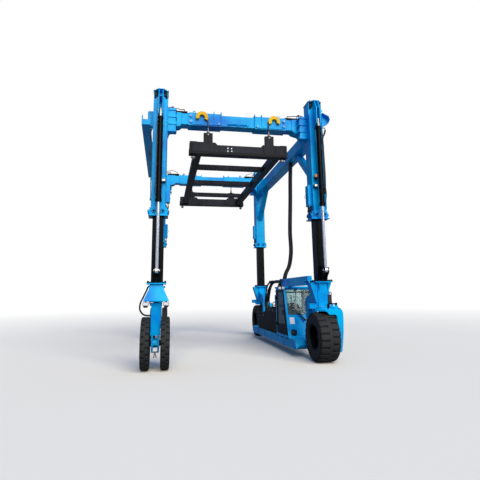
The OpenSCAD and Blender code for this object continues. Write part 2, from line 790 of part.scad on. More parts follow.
// A pane or sheet in the cab's raked front, t thick and in from the face, between heights.
module cab_front_sheet(t, in, a, b) {
    lean = cab_rake / cab_h;
    translate([cab_x0 + cab_w / 2, cab_y0 + in, 0]) side_plate(cab_w - 2 * cab_post, [
        [lean * (a - cab_floor), a], [lean * (b - cab_floor), b],
        [lean * (b - cab_floor) + t, b], [lean * (a - cab_floor) + t, a]]);
}

// Cab frame: two raked side frames of square tube, the rails that join them and the
// pins and brackets of the door.
module cab_frame() {
    p = cab_post;
    roof = cab_floor + cab_h;
    color(blue) {
        for (x = [cab_x0, cab_x0 + cab_w - p]) difference() {
            translate([x + p / 2, 0, 0]) side_plate(p, cab_side(0, cab_floor, roof));
            translate([x + p / 2, 0, 0]) side_plate(p + 2, cab_side(p, cab_floor + p, roof - p));
        }
        for (z = [cab_floor, roof - p])
            translate([cab_x0 + p, cab_rear - p, z]) cube([cab_w - 2 * p, p, p]);
        cab_front_sheet(p - 6, 3, cab_floor, cab_floor + p - 4);
        cab_front_sheet(p - 6, 3, roof - p + 4, roof);
        for (z = door_hinges) translate([door_pin_x, door_pin_y, 0]) {
            translate([0, 0, z - 14]) cylinder(r = 5, h = knuckle_h + 28);
            for (e = [z - 18, z + knuckle_h + 4]) {
                translate([-9, -9, e]) cube([18, 30, 14]);
                translate([-9, 12, e]) cube([30, 18, 14]);
            }
        }
    }
}

// Cab door: a framed leaf in the cab's inboard side, with a sheet below its window and
// two knuckles at its rear edge.
module cab_door() {
    low = cab_floor + cab_post + door_gap;
    high = cab_floor + cab_h - cab_post - door_gap;
    inset = cab_post + door_gap;
    color(black) {
        difference() {
            translate([cab_x0 + door_t / 2, 0, 0]) side_plate(door_t, cab_side(inset, low, high));
            translate([cab_x0 + door_t / 2, 0, 0])
                side_plate(door_t + 2, cab_side(inset + 50, door_sill, high - 50));
        }
        for (z = door_hinges) difference() {
            union() {
                translate([door_pin_x, door_pin_y, z]) cylinder(r = 10, h = knuckle_h);
                translate([door_pin_x - 10, door_rear - 22, z]) cube([16, 20, knuckle_h]);
                translate([door_pin_x - 4, door_rear - 22, z]) cube([30, 22, knuckle_h]);
            }
            translate([door_pin_x, door_pin_y, z - 1]) cylinder(r = 5 + pin_gap, h = knuckle_h + 2);
        }
    }
}

// Door glass, set in the door's window.
module door_glass() {
    high = cab_floor + cab_h - cab_post - door_gap;
    color(glass) translate([cab_x0 + door_t / 2, 0, 0])
        side_plate(8, cab_side(cab_post + door_gap + 50, door_sill, high - 50));
}

// Cab glass: windscreen, outboard window and rear window.
module cab_glass() {
    p = cab_post;
    roof = cab_floor + cab_h;
    color(glass) {
        cab_front_sheet(8, 20, panel_top, roof - p);
        translate([cab_x0 + cab_w - 24, 0, 0]) side_plate(8, cab_side(p, panel_top, roof - p));
        translate([cab_x0 + p, cab_rear - 28, cab_floor + power_h])
            cube([cab_w - 2 * p, 8, cab_h - power_h - p]);
    }
}

// Cab panels: the sheets below the windows and the floor.
module cab_panels() {
    p = cab_post;
    color(blue) {
        cab_front_sheet(20, 12, cab_floor + p, panel_top);
        translate([cab_x0 + cab_w - 24, 0, 0]) side_plate(20, cab_side(p, cab_floor + p, panel_top));
        translate([cab_x0 + p, cab_rear - 34, cab_floor + p])
            cube([cab_w - 2 * p, 20, power_h - p]);
        translate([cab_x0 + p, cab_y0 + p + 20, cab_floor])
            cube([cab_w - 2 * p, cab_l - 2 * p - 20, 20]);
    }
}

// Cab roof, and the beam along it that ties the cab to the front column.
module cab_roof() {
    roof_y0 = cab_y0 + cab_rake - 60;
    end = -leg_y - 60;
    notch = -leg_y + post_w / 2 + 10;
    color(blue) {
        translate([cab_x0 - 20, roof_y0, cab_top - 40])
            cube([cab_w + 40, cab_rear + 20 - roof_y0, 40]);
        translate([leg_x - 300, 0, 0]) side_plate(roof_w, [[end, flange_z + 14], [notch, flange_z + 14],
            [notch, cab_top], [roof_end, cab_top], [roof_end, cab_top + roof_h],
            [end, cab_top + roof_h]]);
        translate([leg_x - 405, roof_end - 14, cab_top + roof_h - 120]) cube([190, 14, 120]);
    }
}

// Operator seat on its pedestal.
module operator_seat() {
    seat_w = 460;
    base = cab_floor + 20;
    color(black) translate([cab_x0 + cab_w / 2, cab_rear - 410, base]) {
        block(260, 260, 300);
        translate([0, 0, 300]) block(seat_w, seat_w, 110);
        translate([0, seat_w / 2 - 50, 380]) block(seat_w - 20, 100, 480);
    }
}

// Power housing: the dark sheet housing of the engine behind the cab, with its silencer.
module power_housing() {
    y0 = cab_rear + 20;
    color(grey) {
        translate([cab_x0 + cab_w / 2, 0, 0]) side_plate(cab_w, [
            [y0, cab_floor], [y0 + power_l, cab_floor], [y0 + power_l, cab_floor + power_low],
            [y0 + power_flat, cab_floor + power_h], [y0, cab_floor + power_h]]);
        translate([cab_x0 + 170, y0 + 430, cab_floor + power_h - 5]) cylinder(r = 75, h = 330);
    }
}

// A hose of straight runs through points, with a round fitting at each bend.
module hose_run(points) {
    for (i = [0 : len(points) - 2]) {
        d = points[i + 1] - points[i];
        translate(points[i]) rotate([0, acos(d[2] / norm(d)), atan2(d[1], d[0])])
            cylinder(r = hose_r, h = norm(d));
    }
    for (i = [1 : len(points) - 2]) translate(points[i]) sphere(r = hose_r + 5);
}

// Power hoses: two thick hoses from the roof beam's end to the power housing. The long one
// meets the housing's sloped top squarely, the short one its level top.
module power_hoses() {
    top = cab_top + roof_h - 60;
    deck = cab_floor + power_h;
    slope = (power_h - power_low) / (power_l - power_flat);
    lean = atan(slope);
    foot_y = cab_rear + 20 - roof_end + power_flat + 680;
    foot_z = deck - slope * 680 + 0.1;
    color(black) {
        translate([leg_x - 358, roof_end, 0]) hose_run([[0, 0, top], [0, 1010, top],
            [0, foot_y - 200, top - 250], [0, foot_y + 300 * sin(lean), foot_z + 300 * cos(lean)],
            [0, foot_y, foot_z]]);
        translate([leg_x - 274, roof_end, 0]) hose_run([[0, 0, top], [0, 300, top],
            [90, 640, top - 400], [90, 640, deck]]);
    }
}

right_sill();
for (s = [-1, 1]) at_leg(1, s) right_column();  // right_columns
for (s = [-1, 1]) at_leg(1, s) mast();  // right_masts
for (s = [-1, 1]) at_leg(1, s) lift_rod();  // right_lift_rods
cab_frame();
cab_glass();
cab_panels();
cab_roof();
operator_seat();
power_housing();
power_hoses();
cab_door();
door_glass();
for (s = [-1, 1]) at_leg(-1, s) sleeve();  // left_sleeves
for (s = [-1, 1]) at_leg(1, s) sleeve();  // right_sleeves
for (sx = [-1, 1], sy = [-1, 1]) at_leg(sx, sy) sleeve_cap();  // sleeve_caps
for (s = [-1, 1]) at_end(s) cross_beam();  // cross_beams
for (s = [0, 1]) mirror([s, 0, 0]) top_beam();  // top_beams
for (sx = [-1, 1], sy = [-1, 1]) at_leg(sx, sy) lift_barrel();  // lift_barrels
for (sx = [-1, 1], sy = [-1, 1]) at_leg(sx, sy) barrel_eye();  // lift_barrel_eyes
for (sx = [0, 1], sy = [-1, 1]) mirror([sx, 0, 0]) at_end(sy) shift_barrel();  // shift_cylinders
hose_tray();
for (sx = [0, 1], sy = [-1, 1]) mirror([sx, 0, 0]) at_end(sy) carriage();  // carriages
for (sx = [0, 1], sy = [-1, 1]) mirror([sx, 0, 0]) at_end(sy) shift_rod();  // shift_rods
for (sx = [0, 1], sy = [-1, 1]) mirror([sx, 0, 0]) at_end(sy) rope_guide();  // rope_guides
for (sx = [0, 1], sy = [-1, 1]) mirror([sx, 0, 0]) at_end(sy) hoist_rope();  // hoist_ropes
for (s = [-1, 1]) at_end(s) spreader_end();  // spreader_end_beams
spreader_sides();  // spreader_side_beams
twist_locks();
at_leg(-1, -1) left_column();  // left_front_column
at_leg(-1, -1) mast();  // left_front_mast
at_leg(-1, -1) lift_rod();  // left_front_lift_rod
at_leg(-1, 1) left_column();  // left_rear_column
at_leg(-1, 1) mast();  // left_rear_mast
at_leg(-1, 1) lift_rod();  // left_rear_lift_rod
at_leg(-1, -1) left_fork();  // fork_front_left
at_leg(-1, 1) left_fork();  // fork_rear_left
at_leg(1, -1) right_yoke();  // yoke_front_right
at_leg(1, 1) right_yoke();  // yoke_rear_right
at_leg(-1, -1) twin_tyres();  // tyres_front_left
at_leg(-1, 1) twin_tyres();  // tyres_rear_left
at_leg(1, -1) single_wheel() tyre(tyre_r, tyre_w, lug_n);  // tyre_front_right
at_leg(1, 1) single_wheel() tyre(tyre_r, tyre_w, lug_n);  // tyre_rear_right
at_leg(-1, -1) twin_rims();  // rims_front_left
at_leg(-1, 1) twin_rims();  // rims_rear_left
at_leg(1, -1) single_wheel() rim(tyre_w);  // rim_front_right
at_leg(1, 1) single_wheel() rim(tyre_w);  // rim_rear_right
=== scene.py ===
# Looks of the rubber tyred gantry crane, in Blender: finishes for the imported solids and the
# pieces that are too fine for them. Metres, +Z up, +X to the cab's side, open front at -Y.
import json
import bmesh
import bpy
import numpy as np
from mathutils import Matrix, Vector


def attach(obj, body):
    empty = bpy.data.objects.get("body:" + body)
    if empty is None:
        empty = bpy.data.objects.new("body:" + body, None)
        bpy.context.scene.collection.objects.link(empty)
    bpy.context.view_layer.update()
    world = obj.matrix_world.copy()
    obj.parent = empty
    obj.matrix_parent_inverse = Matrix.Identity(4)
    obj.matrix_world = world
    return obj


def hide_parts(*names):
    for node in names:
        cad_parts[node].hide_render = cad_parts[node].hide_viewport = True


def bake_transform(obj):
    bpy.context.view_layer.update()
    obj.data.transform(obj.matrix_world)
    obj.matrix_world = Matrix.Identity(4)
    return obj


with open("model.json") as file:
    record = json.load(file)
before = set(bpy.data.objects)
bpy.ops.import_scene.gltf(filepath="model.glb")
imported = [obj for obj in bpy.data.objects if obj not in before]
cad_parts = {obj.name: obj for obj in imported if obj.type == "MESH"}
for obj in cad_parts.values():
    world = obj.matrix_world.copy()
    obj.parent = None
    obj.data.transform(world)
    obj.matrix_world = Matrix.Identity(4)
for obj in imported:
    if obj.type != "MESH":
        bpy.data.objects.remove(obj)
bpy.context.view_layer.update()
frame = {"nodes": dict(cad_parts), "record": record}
nodes = frame["nodes"]
slot_of = {s["node"]: s["material_slot"] for s in frame["record"]["subparts"]}

# ---------------------------------------------------------------- studio and camera
# A plain pale floor that fades to white, an even pale sky and one broad soft lamp high on
# the camera's right, so that faces turned to the bay lie in shade as they do outdoors.


def linear(tone):
    """Linear RGBA of a grey level or an sRGB hex colour, whose curve is undone by channel."""
    if not isinstance(tone, str):
        return (tone, tone, tone, 1.0)
    c = np.array([int(tone[i:i + 2], 16) for i in (1, 3, 5)]) / 255
    c = np.where(c <= 0.04045, c / 12.92, ((c + 0.055) / 1.055) ** 2.4)
    return (*c.tolist(), 1.0)


def add(tree, kind, links=(), stops=(), **settings):
    """Adds a node and sets its properties and sockets by name, its links and a ramp's stops.

    A link is (socket, source), where a node as source stands for its first output. A stop is
    (position, colour), where a colour is linear RGBA, a hex colour or a grey level.
    """
    node = tree.nodes.new("ShaderNode" + kind)
    for key, value in settings.items():
        if hasattr(node, key):
            setattr(node, key, value)
        else:
            node.inputs[key.replace("_", " ")].default_value = value
    for socket, source in links:
        tree.links.new(getattr(source, "outputs", [source])[0], node.inputs[socket])
    if stops:
        elements = node.color_ramp.elements
        while len(elements) < len(stops):
            elements.new(0.5)
        for element, (position, colour) in zip(elements, stops):
            element.position = position
            element.color = colour if isinstance(colour, tuple) else linear(colour)
    return node


def blank(name):
    """A new material with its emptied node tree."""
    material = bpy.data.materials.new(name)
    material.use_nodes = True
    material.node_tree.nodes.clear()
    return material, material.node_tree


def surface(name, points, faces, material=None, smooth=True):
    """A mesh object from an array of points and a list of faces."""
    mesh = bpy.data.meshes.new(name)
    mesh.from_pydata(np.asarray(points, float).reshape(-1, 3).tolist(), [], faces)
    mesh.update()
    if smooth:
        mesh.polygons.foreach_set("use_smooth", [True] * len(mesh.polygons))
    piece = bpy.data.objects.new(name, mesh)
    bpy.context.scene.collection.objects.link(piece)
    if material:
        mesh.materials.append(material)
    return piece


def turn(count):
    """count angles, spaced evenly round a circle."""
    return np.linspace(0, 2 * np.pi, count + 1)[:-1]


floor_r, floor_sides, floor_z = 60.0, 96, -0.002
fade_from, fade_to = 9.0, 30.0
a = turn(floor_sides)
floor = surface("studio_floor", np.stack([floor_r * np.cos(a), floor_r * np.sin(a),
                                          0 * a + floor_z], 1),
                [list(range(floor_sides))], smooth=False)
floor_paint, t = blank("pale_floor")
place = add(t, "TexCoord")
reach = add(t, "VectorMath", [(0, place.outputs["Object"])], operation="LENGTH")
fade = add(t, "MapRange", [("Value", reach.outputs["Value"])], From_Min=fade_from,
           From_Max=fade_to)
camera_ray = add(t, "LightPath").outputs["Is Camera Ray"]
tint = add(t, "Mix", [("Factor", camera_ray)], data_type="RGBA", A=linear("#7E7E7C"),
           B=linear("#FFF9EC"))
matt = add(t, "BsdfDiffuse", [("Color", tint.outputs["Result"])])
white = add(t, "Emission", Color=linear(1.0), Strength=1.0)
faded = add(t, "Math", [(0, fade), (1, camera_ray)], operation="MULTIPLY")
both = add(t, "MixShader", [(0, faded), (1, matt), (2, white)])
add(t, "OutputMaterial", [("Surface", both)])
floor.data.materials.append(floor_paint)

sky = bpy.data.worlds.new("studio_sky")
bpy.context.scene.world = sky
sky.use_nodes = True
t = sky.node_tree
t.nodes.clear()
rays = add(t, "LightPath").outputs
direct = add(t, "Math", [(0, rays["Is Camera Ray"]), (1, rays["Is Transmission Ray"])],
             operation="MAXIMUM")
lamp_sky = add(t, "Background", Color=linear("#A3C0FC"), Strength=0.42)
seen_sky = add(t, "Background", Color=linear(1.0), Strength=1.0)
both = add(t, "MixShader", [(0, direct), (1, lamp_sky), (2, seen_sky)])
add(t, "OutputWorld", [("Surface", both)])

sun = bpy.data.lights.new("soft_sun", "SUN")
sun.energy = 3.3
sun.color = (1.0, 0.965, 0.87)
sun.angle = 0.9
sun_lamp = bpy.data.objects.new("soft_sun", sun)
sun_lamp.rotation_euler = Vector((-0.16, 0.82, -0.58)).to_track_quat("-Z", "Y").to_euler()
bpy.context.scene.collection.objects.link(sun_lamp)

# The camera stands 1.6 m above the ground, 12.4 m in front of the crane's middle.
camera_at = (-1.7625, -12.4216, 1.5924)
yaw, pitch, roll = 0.1848, 0.1909, -0.0138
ahead = Vector((np.sin(yaw) * np.cos(pitch), np.cos(yaw) * np.cos(pitch), np.sin(pitch)))
level = Vector((np.cos(yaw), -np.sin(yaw), 0.0))
upward = level.cross(ahead)
right = level * np.cos(roll) + upward * np.sin(roll)
top = upward * np.cos(roll) - level * np.sin(roll)
camera = bpy.data.cameras.new("photo_camera")
camera.sensor_width = 36.0
camera.lens = 30.509
camera.shift_y = -0.0542
camera.clip_end = 300.0
viewpoint = bpy.data.objects.new("photo_camera", camera)
viewpoint.matrix_world = Matrix.Translation(camera_at) @ Matrix(
    (right, top, -ahead)).transposed().to_4x4()
bpy.context.scene.collection.objects.link(viewpoint)
bpy.context.scene.camera = viewpoint
bpy.context.scene.view_settings.view_transform = "Standard"

# ---------------------------------------------------------------- painted plate boxes
# The columns, sleeves, beams and panels are folded and welded steel plate under a glossy
# two-part azure enamel, sprayed on after welding. It runs a little thick and thin, has a
# fine orange peel, and carries road dust on its lower parts and rain streaks on its sides.
# The masts and rims are satin black, the spreader a grimy slate grey and the rope guides
# yellow; the duller the coat, the broader its glint and the more grime it holds.


def weather(t, seed):
    """Noise over a piece, moved by seed: broad tone, upright streaks 90 mm apart, fine grain."""
    place = add(t, "TexCoord").outputs["Object"]
    shift = add(t, "Mapping", [("Vector", place)], Location=(seed, seed * 0.7, seed * 0.3))
    tall = add(t, "Mapping", [("Vector", shift)], Scale=(1.0, 1.0, 0.08))
    broad = add(t, "TexNoise", [("Vector", shift)], Scale=1.3, Detail=5.0)
    streak = add(t, "TexNoise", [("Vector", tall)], Scale=1000.0 / 90.0, Detail=6.0,
                 Roughness=0.62)
    grain = add(t, "TexNoise", [("Vector", shift)], Scale=160.0, Detail=3.0)
    height = add(t, "SeparateXYZ", [(0, place)]).outputs["Z"]
    return place, height, broad, streak, grain


def enamel(name, base, pale, deep, dust, gloss, grime, seed=0.0):
    """Sprayed enamel: tone by broad noise, streaks of dark grime, and dust below 0.9 m."""
    material, t = blank(name)
    place, height, broad, streak, grain = weather(t, seed)
    tone = add(t, "ValToRGB", [(0, broad)], [(0.32, deep), (0.5, base), (0.72, pale)])
    run = add(t, "ValToRGB", [(0, streak)], [(0.56, 0.0), (0.74, grime)])
    dirty = add(t, "Mix", [("Factor", run), ("A", tone)], data_type="RGBA", B=linear(deep))
    low = add(t, "MapRange", [("Value", height)], From_Min=0.05, From_Max=0.9, To_Min=0.22,
              To_Max=0.0, interpolation_type="SMOOTHSTEP")
    patch = add(t, "ValToRGB", [(0, streak)], [(0.38, 0.0), (0.66, 1.0)])
    dusty = add(t, "Math", [(0, low), (1, patch)], operation="MULTIPLY")
    colour = add(t, "Mix", [("Factor", dusty), ("A", dirty.outputs["Result"])],
                 data_type="RGBA", B=linear(dust))
    rough = add(t, "MapRange", [("Value", streak)], From_Min=0.3, From_Max=0.8,
                To_Min=gloss - 0.04, To_Max=gloss + 0.10)
    rougher = add(t, "Math", [(0, rough), (1, dusty)], operation="ADD", use_clamp=True)
    peel = add(t, "Bump", [("Height", grain)], Strength=0.12, Distance=0.0006)
    paint = add(t, "BsdfPrincipled", [("Base Color", colour.outputs["Result"]),
                ("Roughness", rougher), ("Normal", peel)], IOR=1.45, Specular_IOR_Level=0.12)
    add(t, "OutputMaterial", [("Surface", paint)])
    return material


azure = enamel("azure_enamel_on_plate", "#00AEF0", "#00C0F8", "#007ED8",
               "#7F8A92", gloss=0.24, grime=0.25)
black = enamel("satin_black_enamel", "#06080B", "#0B0D11", "#030405",
               "#45443F", gloss=0.34, grime=0.5, seed=3.0)
slate = enamel("slate_grey_enamel", "#1C1E27", "#262934", "#111318",
               "#55534F", gloss=0.42, grime=0.8, seed=7.0)
amber = enamel("yellow_enamel", "#F0BA12", "#F8CC2C", "#C48A06",
               "#A09A86", gloss=0.34, grime=0.5, seed=11.0)

# ---------------------------------------------------------------- machined and bare metal
# Cylinder rods are hard chromed and ground, so they mirror with a faint ring of grinding
# marks. Pins, hooks and lock heads are bare turned steel, dulled by grease and handling.
# Screws are zinc plated and pale, or black oxided and almost as dark as the masts.


def metal(name, colour, rough, spread, marks_mm, squeeze=1, seed=0.0, haze=0.0):
    """Bare metal: fine tool marks, and smudges that dull it.

    Marks lie squeeze times closer along Z, which draws them out to rings round a rod;
    haze is the share of light that an oily film scatters instead of mirroring it.
    """
    material, t = blank(name)
    place = add(t, "TexCoord").outputs["Object"]
    lay = add(t, "Mapping", [("Vector", place)], Scale=(1, 1, squeeze), Location=(seed, seed, 0))
    marks = add(t, "TexNoise", [("Vector", lay)], Scale=1000.0 / marks_mm, Detail=3.0)
    smudge = add(t, "TexNoise", [("Vector", place)], Scale=7.0, Detail=5.0)
    dull = add(t, "MapRange", [("Value", smudge)], From_Min=0.35, From_Max=0.75, To_Min=rough,
               To_Max=rough + spread)
    worn = (*(0.6 * c for c in linear(colour)[:3]), 1.0)
    tone = add(t, "ValToRGB", [(0, smudge)], [(0.3, colour), (0.8, worn)])
    bump = add(t, "Bump", [("Height", marks)], Strength=0.08, Distance=0.0004)
    shine = add(t, "BsdfPrincipled", [("Base Color", tone), ("Roughness", dull),
                ("Normal", bump)], Metallic=1.0 - haze)
    add(t, "OutputMaterial", [("Surface", shine)])
    return material


chrome = metal("ground_hard_chrome", "#F4F6F8", 0.10, 0.16, 30.0, 12, haze=0.5)
steel = metal("turned_bare_steel", "#8B8985", 0.32, 0.3, 12.0, seed=2.0)
zinc = metal("zinc_plated_bolts", "#B9BABB", 0.28, 0.3, 8.0, seed=5.0)
blued = metal("black_oxide_bolts", "#34353A", 0.36, 0.3, 8.0, seed=6.0)

# ---------------------------------------------------------------- rubber and plastic
# Tyre rubber is moulded and then scuffed by the road, so it is matt and brown grey with dust.
# Its groove floors and walls are given near black rubber as painted shade, for the shade in the
# grooves and on the walls. Hoses and lamp bodies are black moulded rubber and plastic with a
# dull sheen, and the seat is covered in finely grained vinyl.


def moulded(name, base, dusty, rough, grain_mm, low=0.0, seed=0.0):
    """Moulded rubber or plastic: fine grain bump, dust by noise and, below low, by height."""
    material, t = blank(name)
    place, height, broad, streak, _ = weather(t, seed)
    grain = add(t, "TexNoise", [("Vector", place)], Scale=1000.0 / grain_mm, Detail=4.0,
                Roughness=0.6)
    dust = add(t, "ValToRGB", [(0, grain)], [(0.45, 0.0), (0.8, 0.55)])
    amount = add(t, "Math", [(0, dust), (1, broad)], operation="MULTIPLY")
    if low:
        ground = add(t, "MapRange", [("Value", height)], From_Min=0.0, From_Max=low,
                     To_Min=0.35, To_Max=0.0)
        amount = add(t, "Math", [(0, amount), (1, ground)], operation="ADD", use_clamp=True)
    colour = add(t, "Mix", [("Factor", amount)], data_type="RGBA", A=linear(base),
                 B=linear(dusty))
    bump = add(t, "Bump", [("Height", grain)], Strength=0.35, Distance=0.001)
    skin = add(t, "BsdfPrincipled", [("Base Color", colour.outputs["Result"]),
               ("Normal", bump)], Roughness=rough, IOR=1.52)
    add(t, "OutputMaterial", [("Surface", skin)])
    return material


tyre_rubber = moulded("scuffed_tyre_rubber", "#1A1C1E", "#5F5B54", 0.8, 9.0,
                      low=0.15)
# Near black rubber: painted shade in the tyres' grooves and along the spreader's lower edge.
painted_shade_rubber = moulded("painted_shade_black_rubber", "#070809", "#1E1D1B", 0.85,
                        9.0, seed=2.0)
# Darker rubber for the tyre walls: painted shade.
wall_shade_rubber = moulded("side_wall_painted_shade_rubber", "#0D0E10", "#3C3934", 0.7, 9.0,
                      low=0.1, seed=12.0)
hose_rubber = moulded("black_hose_rubber", "#08090B", "#34332F", 0.5, 5.0,
                      seed=4.0)
lamp_plastic = moulded("black_moulded_plastic", "#16171A", "#4C4B48", 0.45,
                       3.0, seed=6.0)
seat_vinyl = moulded("black_seat_vinyl", "#1B1C1F", "#5A5855", 0.55, 2.0,
                     seed=8.0)

# ---------------------------------------------------------------- glass
# The cab is glazed with clear toughened safety glass, set in black rubber; it is faintly
# green and has a thin film of dust.
glazing, t = blank("toughened_safety_glass")
streak = weather(t, seed=9.0)[3]
film = add(t, "MapRange", [("Value", streak)], From_Min=0.4, From_Max=0.8, To_Min=0.06,
           To_Max=0.22)
clear = add(t, "BsdfTransparent", Color=linear("#DDEBEC"))
gloss = add(t, "BsdfPrincipled", Base_Color=linear("#9FB7BA"), Roughness=0.05, IOR=1.52,
            Specular_IOR_Level=0.9)
edge = add(t, "Fresnel", IOR=1.6)
amount = add(t, "Math", [(0, film), (1, edge)], operation="ADD", use_clamp=True)
both = add(t, "MixShader", [(0, amount), (1, clear), (2, gloss)])
add(t, "OutputMaterial", [("Surface", both)])

finish = {"azure_paint": azure, "black_paint": black, "chrome_rod": chrome, "grey_paint": slate,
          "yellow_paint": amber, "tyre_rubber": tyre_rubber, "wire_rope": steel,
          "clear_glass": glazing, "black_plastic": lamp_plastic, "bare_steel": steel}
for name, solid in nodes.items():
    solid.data.materials.clear()
    solid.data.materials.append(finish[slot_of[name]])

# ---------------------------------------------------------------- tyres
# Earthmover tyres: a moulded rubber carcass with raised rings on its walls, a plain band
# round the middle of the tread and deep blocks cut by grooves from each shoulder.
leg_x, leg_y = 1.92, 3.1
leg_at = {"front_left": (-leg_x, -leg_y), "rear_left": (-leg_x, leg_y),
          "front_right": (leg_x, -leg_y), "rear_right": (leg_x, leg_y)}
left_legs, right_legs = ("front_left", "rear_left"), ("front_right", "rear_right")
# Tyre radius, half its width, its blocks a side and the places of its one or two carcasses.
tyre_sizes = {"left": (0.55, 0.095, 24, (-0.209, 0.209)), "right": (0.56, 0.235, 22, (-0.03,))}
bead_r, lug_depth = 0.292, 0.03


def grid_faces(rows, columns, first=0, caps=False):
    """Quads between rows of points, each row closed round, with a cap at both ends or none."""
    i, j = np.meshgrid(np.arange(rows - 1), np.arange(columns), indexing="ij")
    k = (j + 1) % columns
    quads = np.stack([i * columns + j, i * columns + k, (i + 1) * columns + k,
                      (i + 1) * columns + j], -1).reshape(-1, 4) + first
    faces = quads.tolist()
    if caps:
        faces.append((np.arange(columns)[::-1] + first).tolist())
        faces.append((np.arange(columns) + (rows - 1) * columns + first).tolist())
    return faces


def wheel_turn(profile, centre, sides=96):
    """Revolves (across, radius) points about an axle along X: y = r sin a, z = r cos a."""
    a = turn(sides)
    across, radius = np.asarray(profile, float).T[:, :, None]
    points = np.stack([across + 0 * a, radius * np.sin(a), radius * np.cos(a)], -1)
    return points.reshape(-1, 3) + np.asarray(centre), grid_faces(len(profile), sides)


def carcass(half, r, bead):
    """Half width, radius and bead radius to the outline of a tyre's section, bead to bead."""
    side = np.array([(0.80, bead), (0.93, bead + 0.012), (0.97, bead + 0.03), (0.99, bead + 0.06),
                     (1.012, bead + 0.062), (1.012, bead + 0.07), (1.0, bead + 0.074)])
    wall = np.linspace(bead + 0.09, r - 0.10, 6)
    bulge = np.stack([1.0 + 0.0 * wall, wall], 1)
    shoulder = np.array([(1.012, r - 0.092), (1.012, r - 0.084), (0.985, r - 0.078),
                         (0.95, r - 0.045), (0.88, r - 0.03), (0.6, r - 0.026), (0.2, r - 0.026),
                         (0.17, r - 0.006), (0.0, r - 0.004)])
    one = np.vstack([side, bulge, shoulder]) * [half, 1.0]
    return np.vstack([one * [-1, 1], one[::-1][1:]])


def lugs(half, r, count, depth):
    """Rows of chamfered blocks on both shoulders, bent round the tread.

    A block is one outline, in across and along, drawn at four depths; its along value
    divided by the radius is the angle on the tyre, so the blocks follow the curve.
    """
    pitch = 2 * np.pi * r / count
    outline = np.array([(0.13, -0.27), (0.22, -0.37), (0.60, -0.41), (0.90, -0.39),
                        (0.985, -0.37), (0.985, 0.37), (0.90, 0.39), (0.60, 0.37),
                        (0.22, 0.33), (0.13, 0.24)]) * [half, pitch]
    level = np.array([r - depth - 0.02, r - 0.006, r - 0.001, r])
    inset = np.array([0.0, 0.0, 0.004, 0.009])
    away = outline - outline.mean(0)
    away /= np.linalg.norm(away, axis=1, keepdims=True)
    rings = outline[None] - away[None] * inset[:, None, None]
    drop = np.clip(rings[..., 0] / half - 0.80, 0, 1) * 0.16
    radius = level[:, None] - drop * (level[:, None] > r - depth)
    every = np.arange(count)[:, None, None]
    points, faces = [], []
    for side in (-1, 1):
        angle = side * rings[None, ..., 1] / r + (every + 0.25 * side) * 2 * np.pi / count
        across = side * rings[None, ..., 0] + 0 * angle
        rho = radius[None] + 0 * angle
        points.append(np.stack([across, rho * np.sin(angle), rho * np.cos(angle)], -1))
    for block in range(2 * count):
        faces += grid_faces(4, 10, 40 * block, caps=True)
    return np.concatenate([p.reshape(-1, 3) for p in points]), faces


def outward(piece):
    """Merges a mesh's doubles and turns all its faces outwards."""
    bm = bmesh.new()
    bm.from_mesh(piece.data)
    bmesh.ops.remove_doubles(bm, verts=bm.verts, dist=1e-5)
    bmesh.ops.recalc_face_normals(bm, faces=bm.faces)
    bm.to_mesh(piece.data)
    bm.free()
    return piece


def join_parts(parts):
    """Puts (points, faces) parts together as one list of points and one of faces."""
    count, points, faces = 0, [], []
    for p, f in parts:
        points.append(np.asarray(p).reshape(-1, 3))
        faces += [[v + count for v in face] for face in f]
        count += len(points[-1])
    return np.concatenate(points), faces


def crisp(piece):
    """Splits a smooth piece's sharp edges, so that only its round faces shade as round."""
    piece.modifiers.new("crisp_edges", "EDGE_SPLIT").split_angle = 0.6


def put(name, parts, material, body, smooth=False):
    """Joins parts to one outward-facing piece that rides on a body, in its material's slot."""
    piece = outward(surface(name, *join_parts(parts), material, smooth=smooth))
    if smooth:
        crisp(piece)
    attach(piece, body)
    return piece


for corner, (x, y) in leg_at.items():
    r, half, count, offsets = tyre_sizes[corner.split("_")[1]]
    section = carcass(half, r, bead_r)
    parts = []
    for off in offsets:
        parts.append(wheel_turn(section, (x + off, y, r)))
        blocks, faces = lugs(half, r, count, lug_depth)
        parts.append((blocks + [x + off, y, r], faces))
    node = ("tyres_" if corner in left_legs else "tyre_") + corner
    tyre = outward(surface(node + "_moulded", *join_parts(parts), tyre_rubber))
    tyre.data.shade_smooth()
    middle = np.empty(3 * len(tyre.data.polygons))
    tyre.data.polygons.foreach_get("center", middle)
    middle = middle.reshape(-1, 3)
    rho = np.hypot(middle[:, 1] - y, middle[:, 2] - r)
    off = np.abs(middle[:, :1] - np.array([x + off for off in offsets])).min(1) / half
    # The groove floors and the walls take the darker rubbers, as painted shade.
    in_groove = (rho < r - 0.012) & (rho > r - 0.06) & (off < 0.99)
    tyre.data.materials.append(painted_shade_rubber)
    tyre.data.materials.append(wall_shade_rubber)
    kind = np.where(rho <= r - 0.06, 2, np.where(in_groove, 1, 0))
    tyre.data.polygons.foreach_set("material_index", kind.astype(np.int32))
    crisp(tyre)
    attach(tyre, corner + ("_wheels" if corner in left_legs else "_wheel"))
    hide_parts(node)

# ---------------------------------------------------------------- rim bolts and hub caps
# Pressed steel rims, painted black: a ring of zinc plated nuts round the disc and a domed
# hub cap over the axle's end.


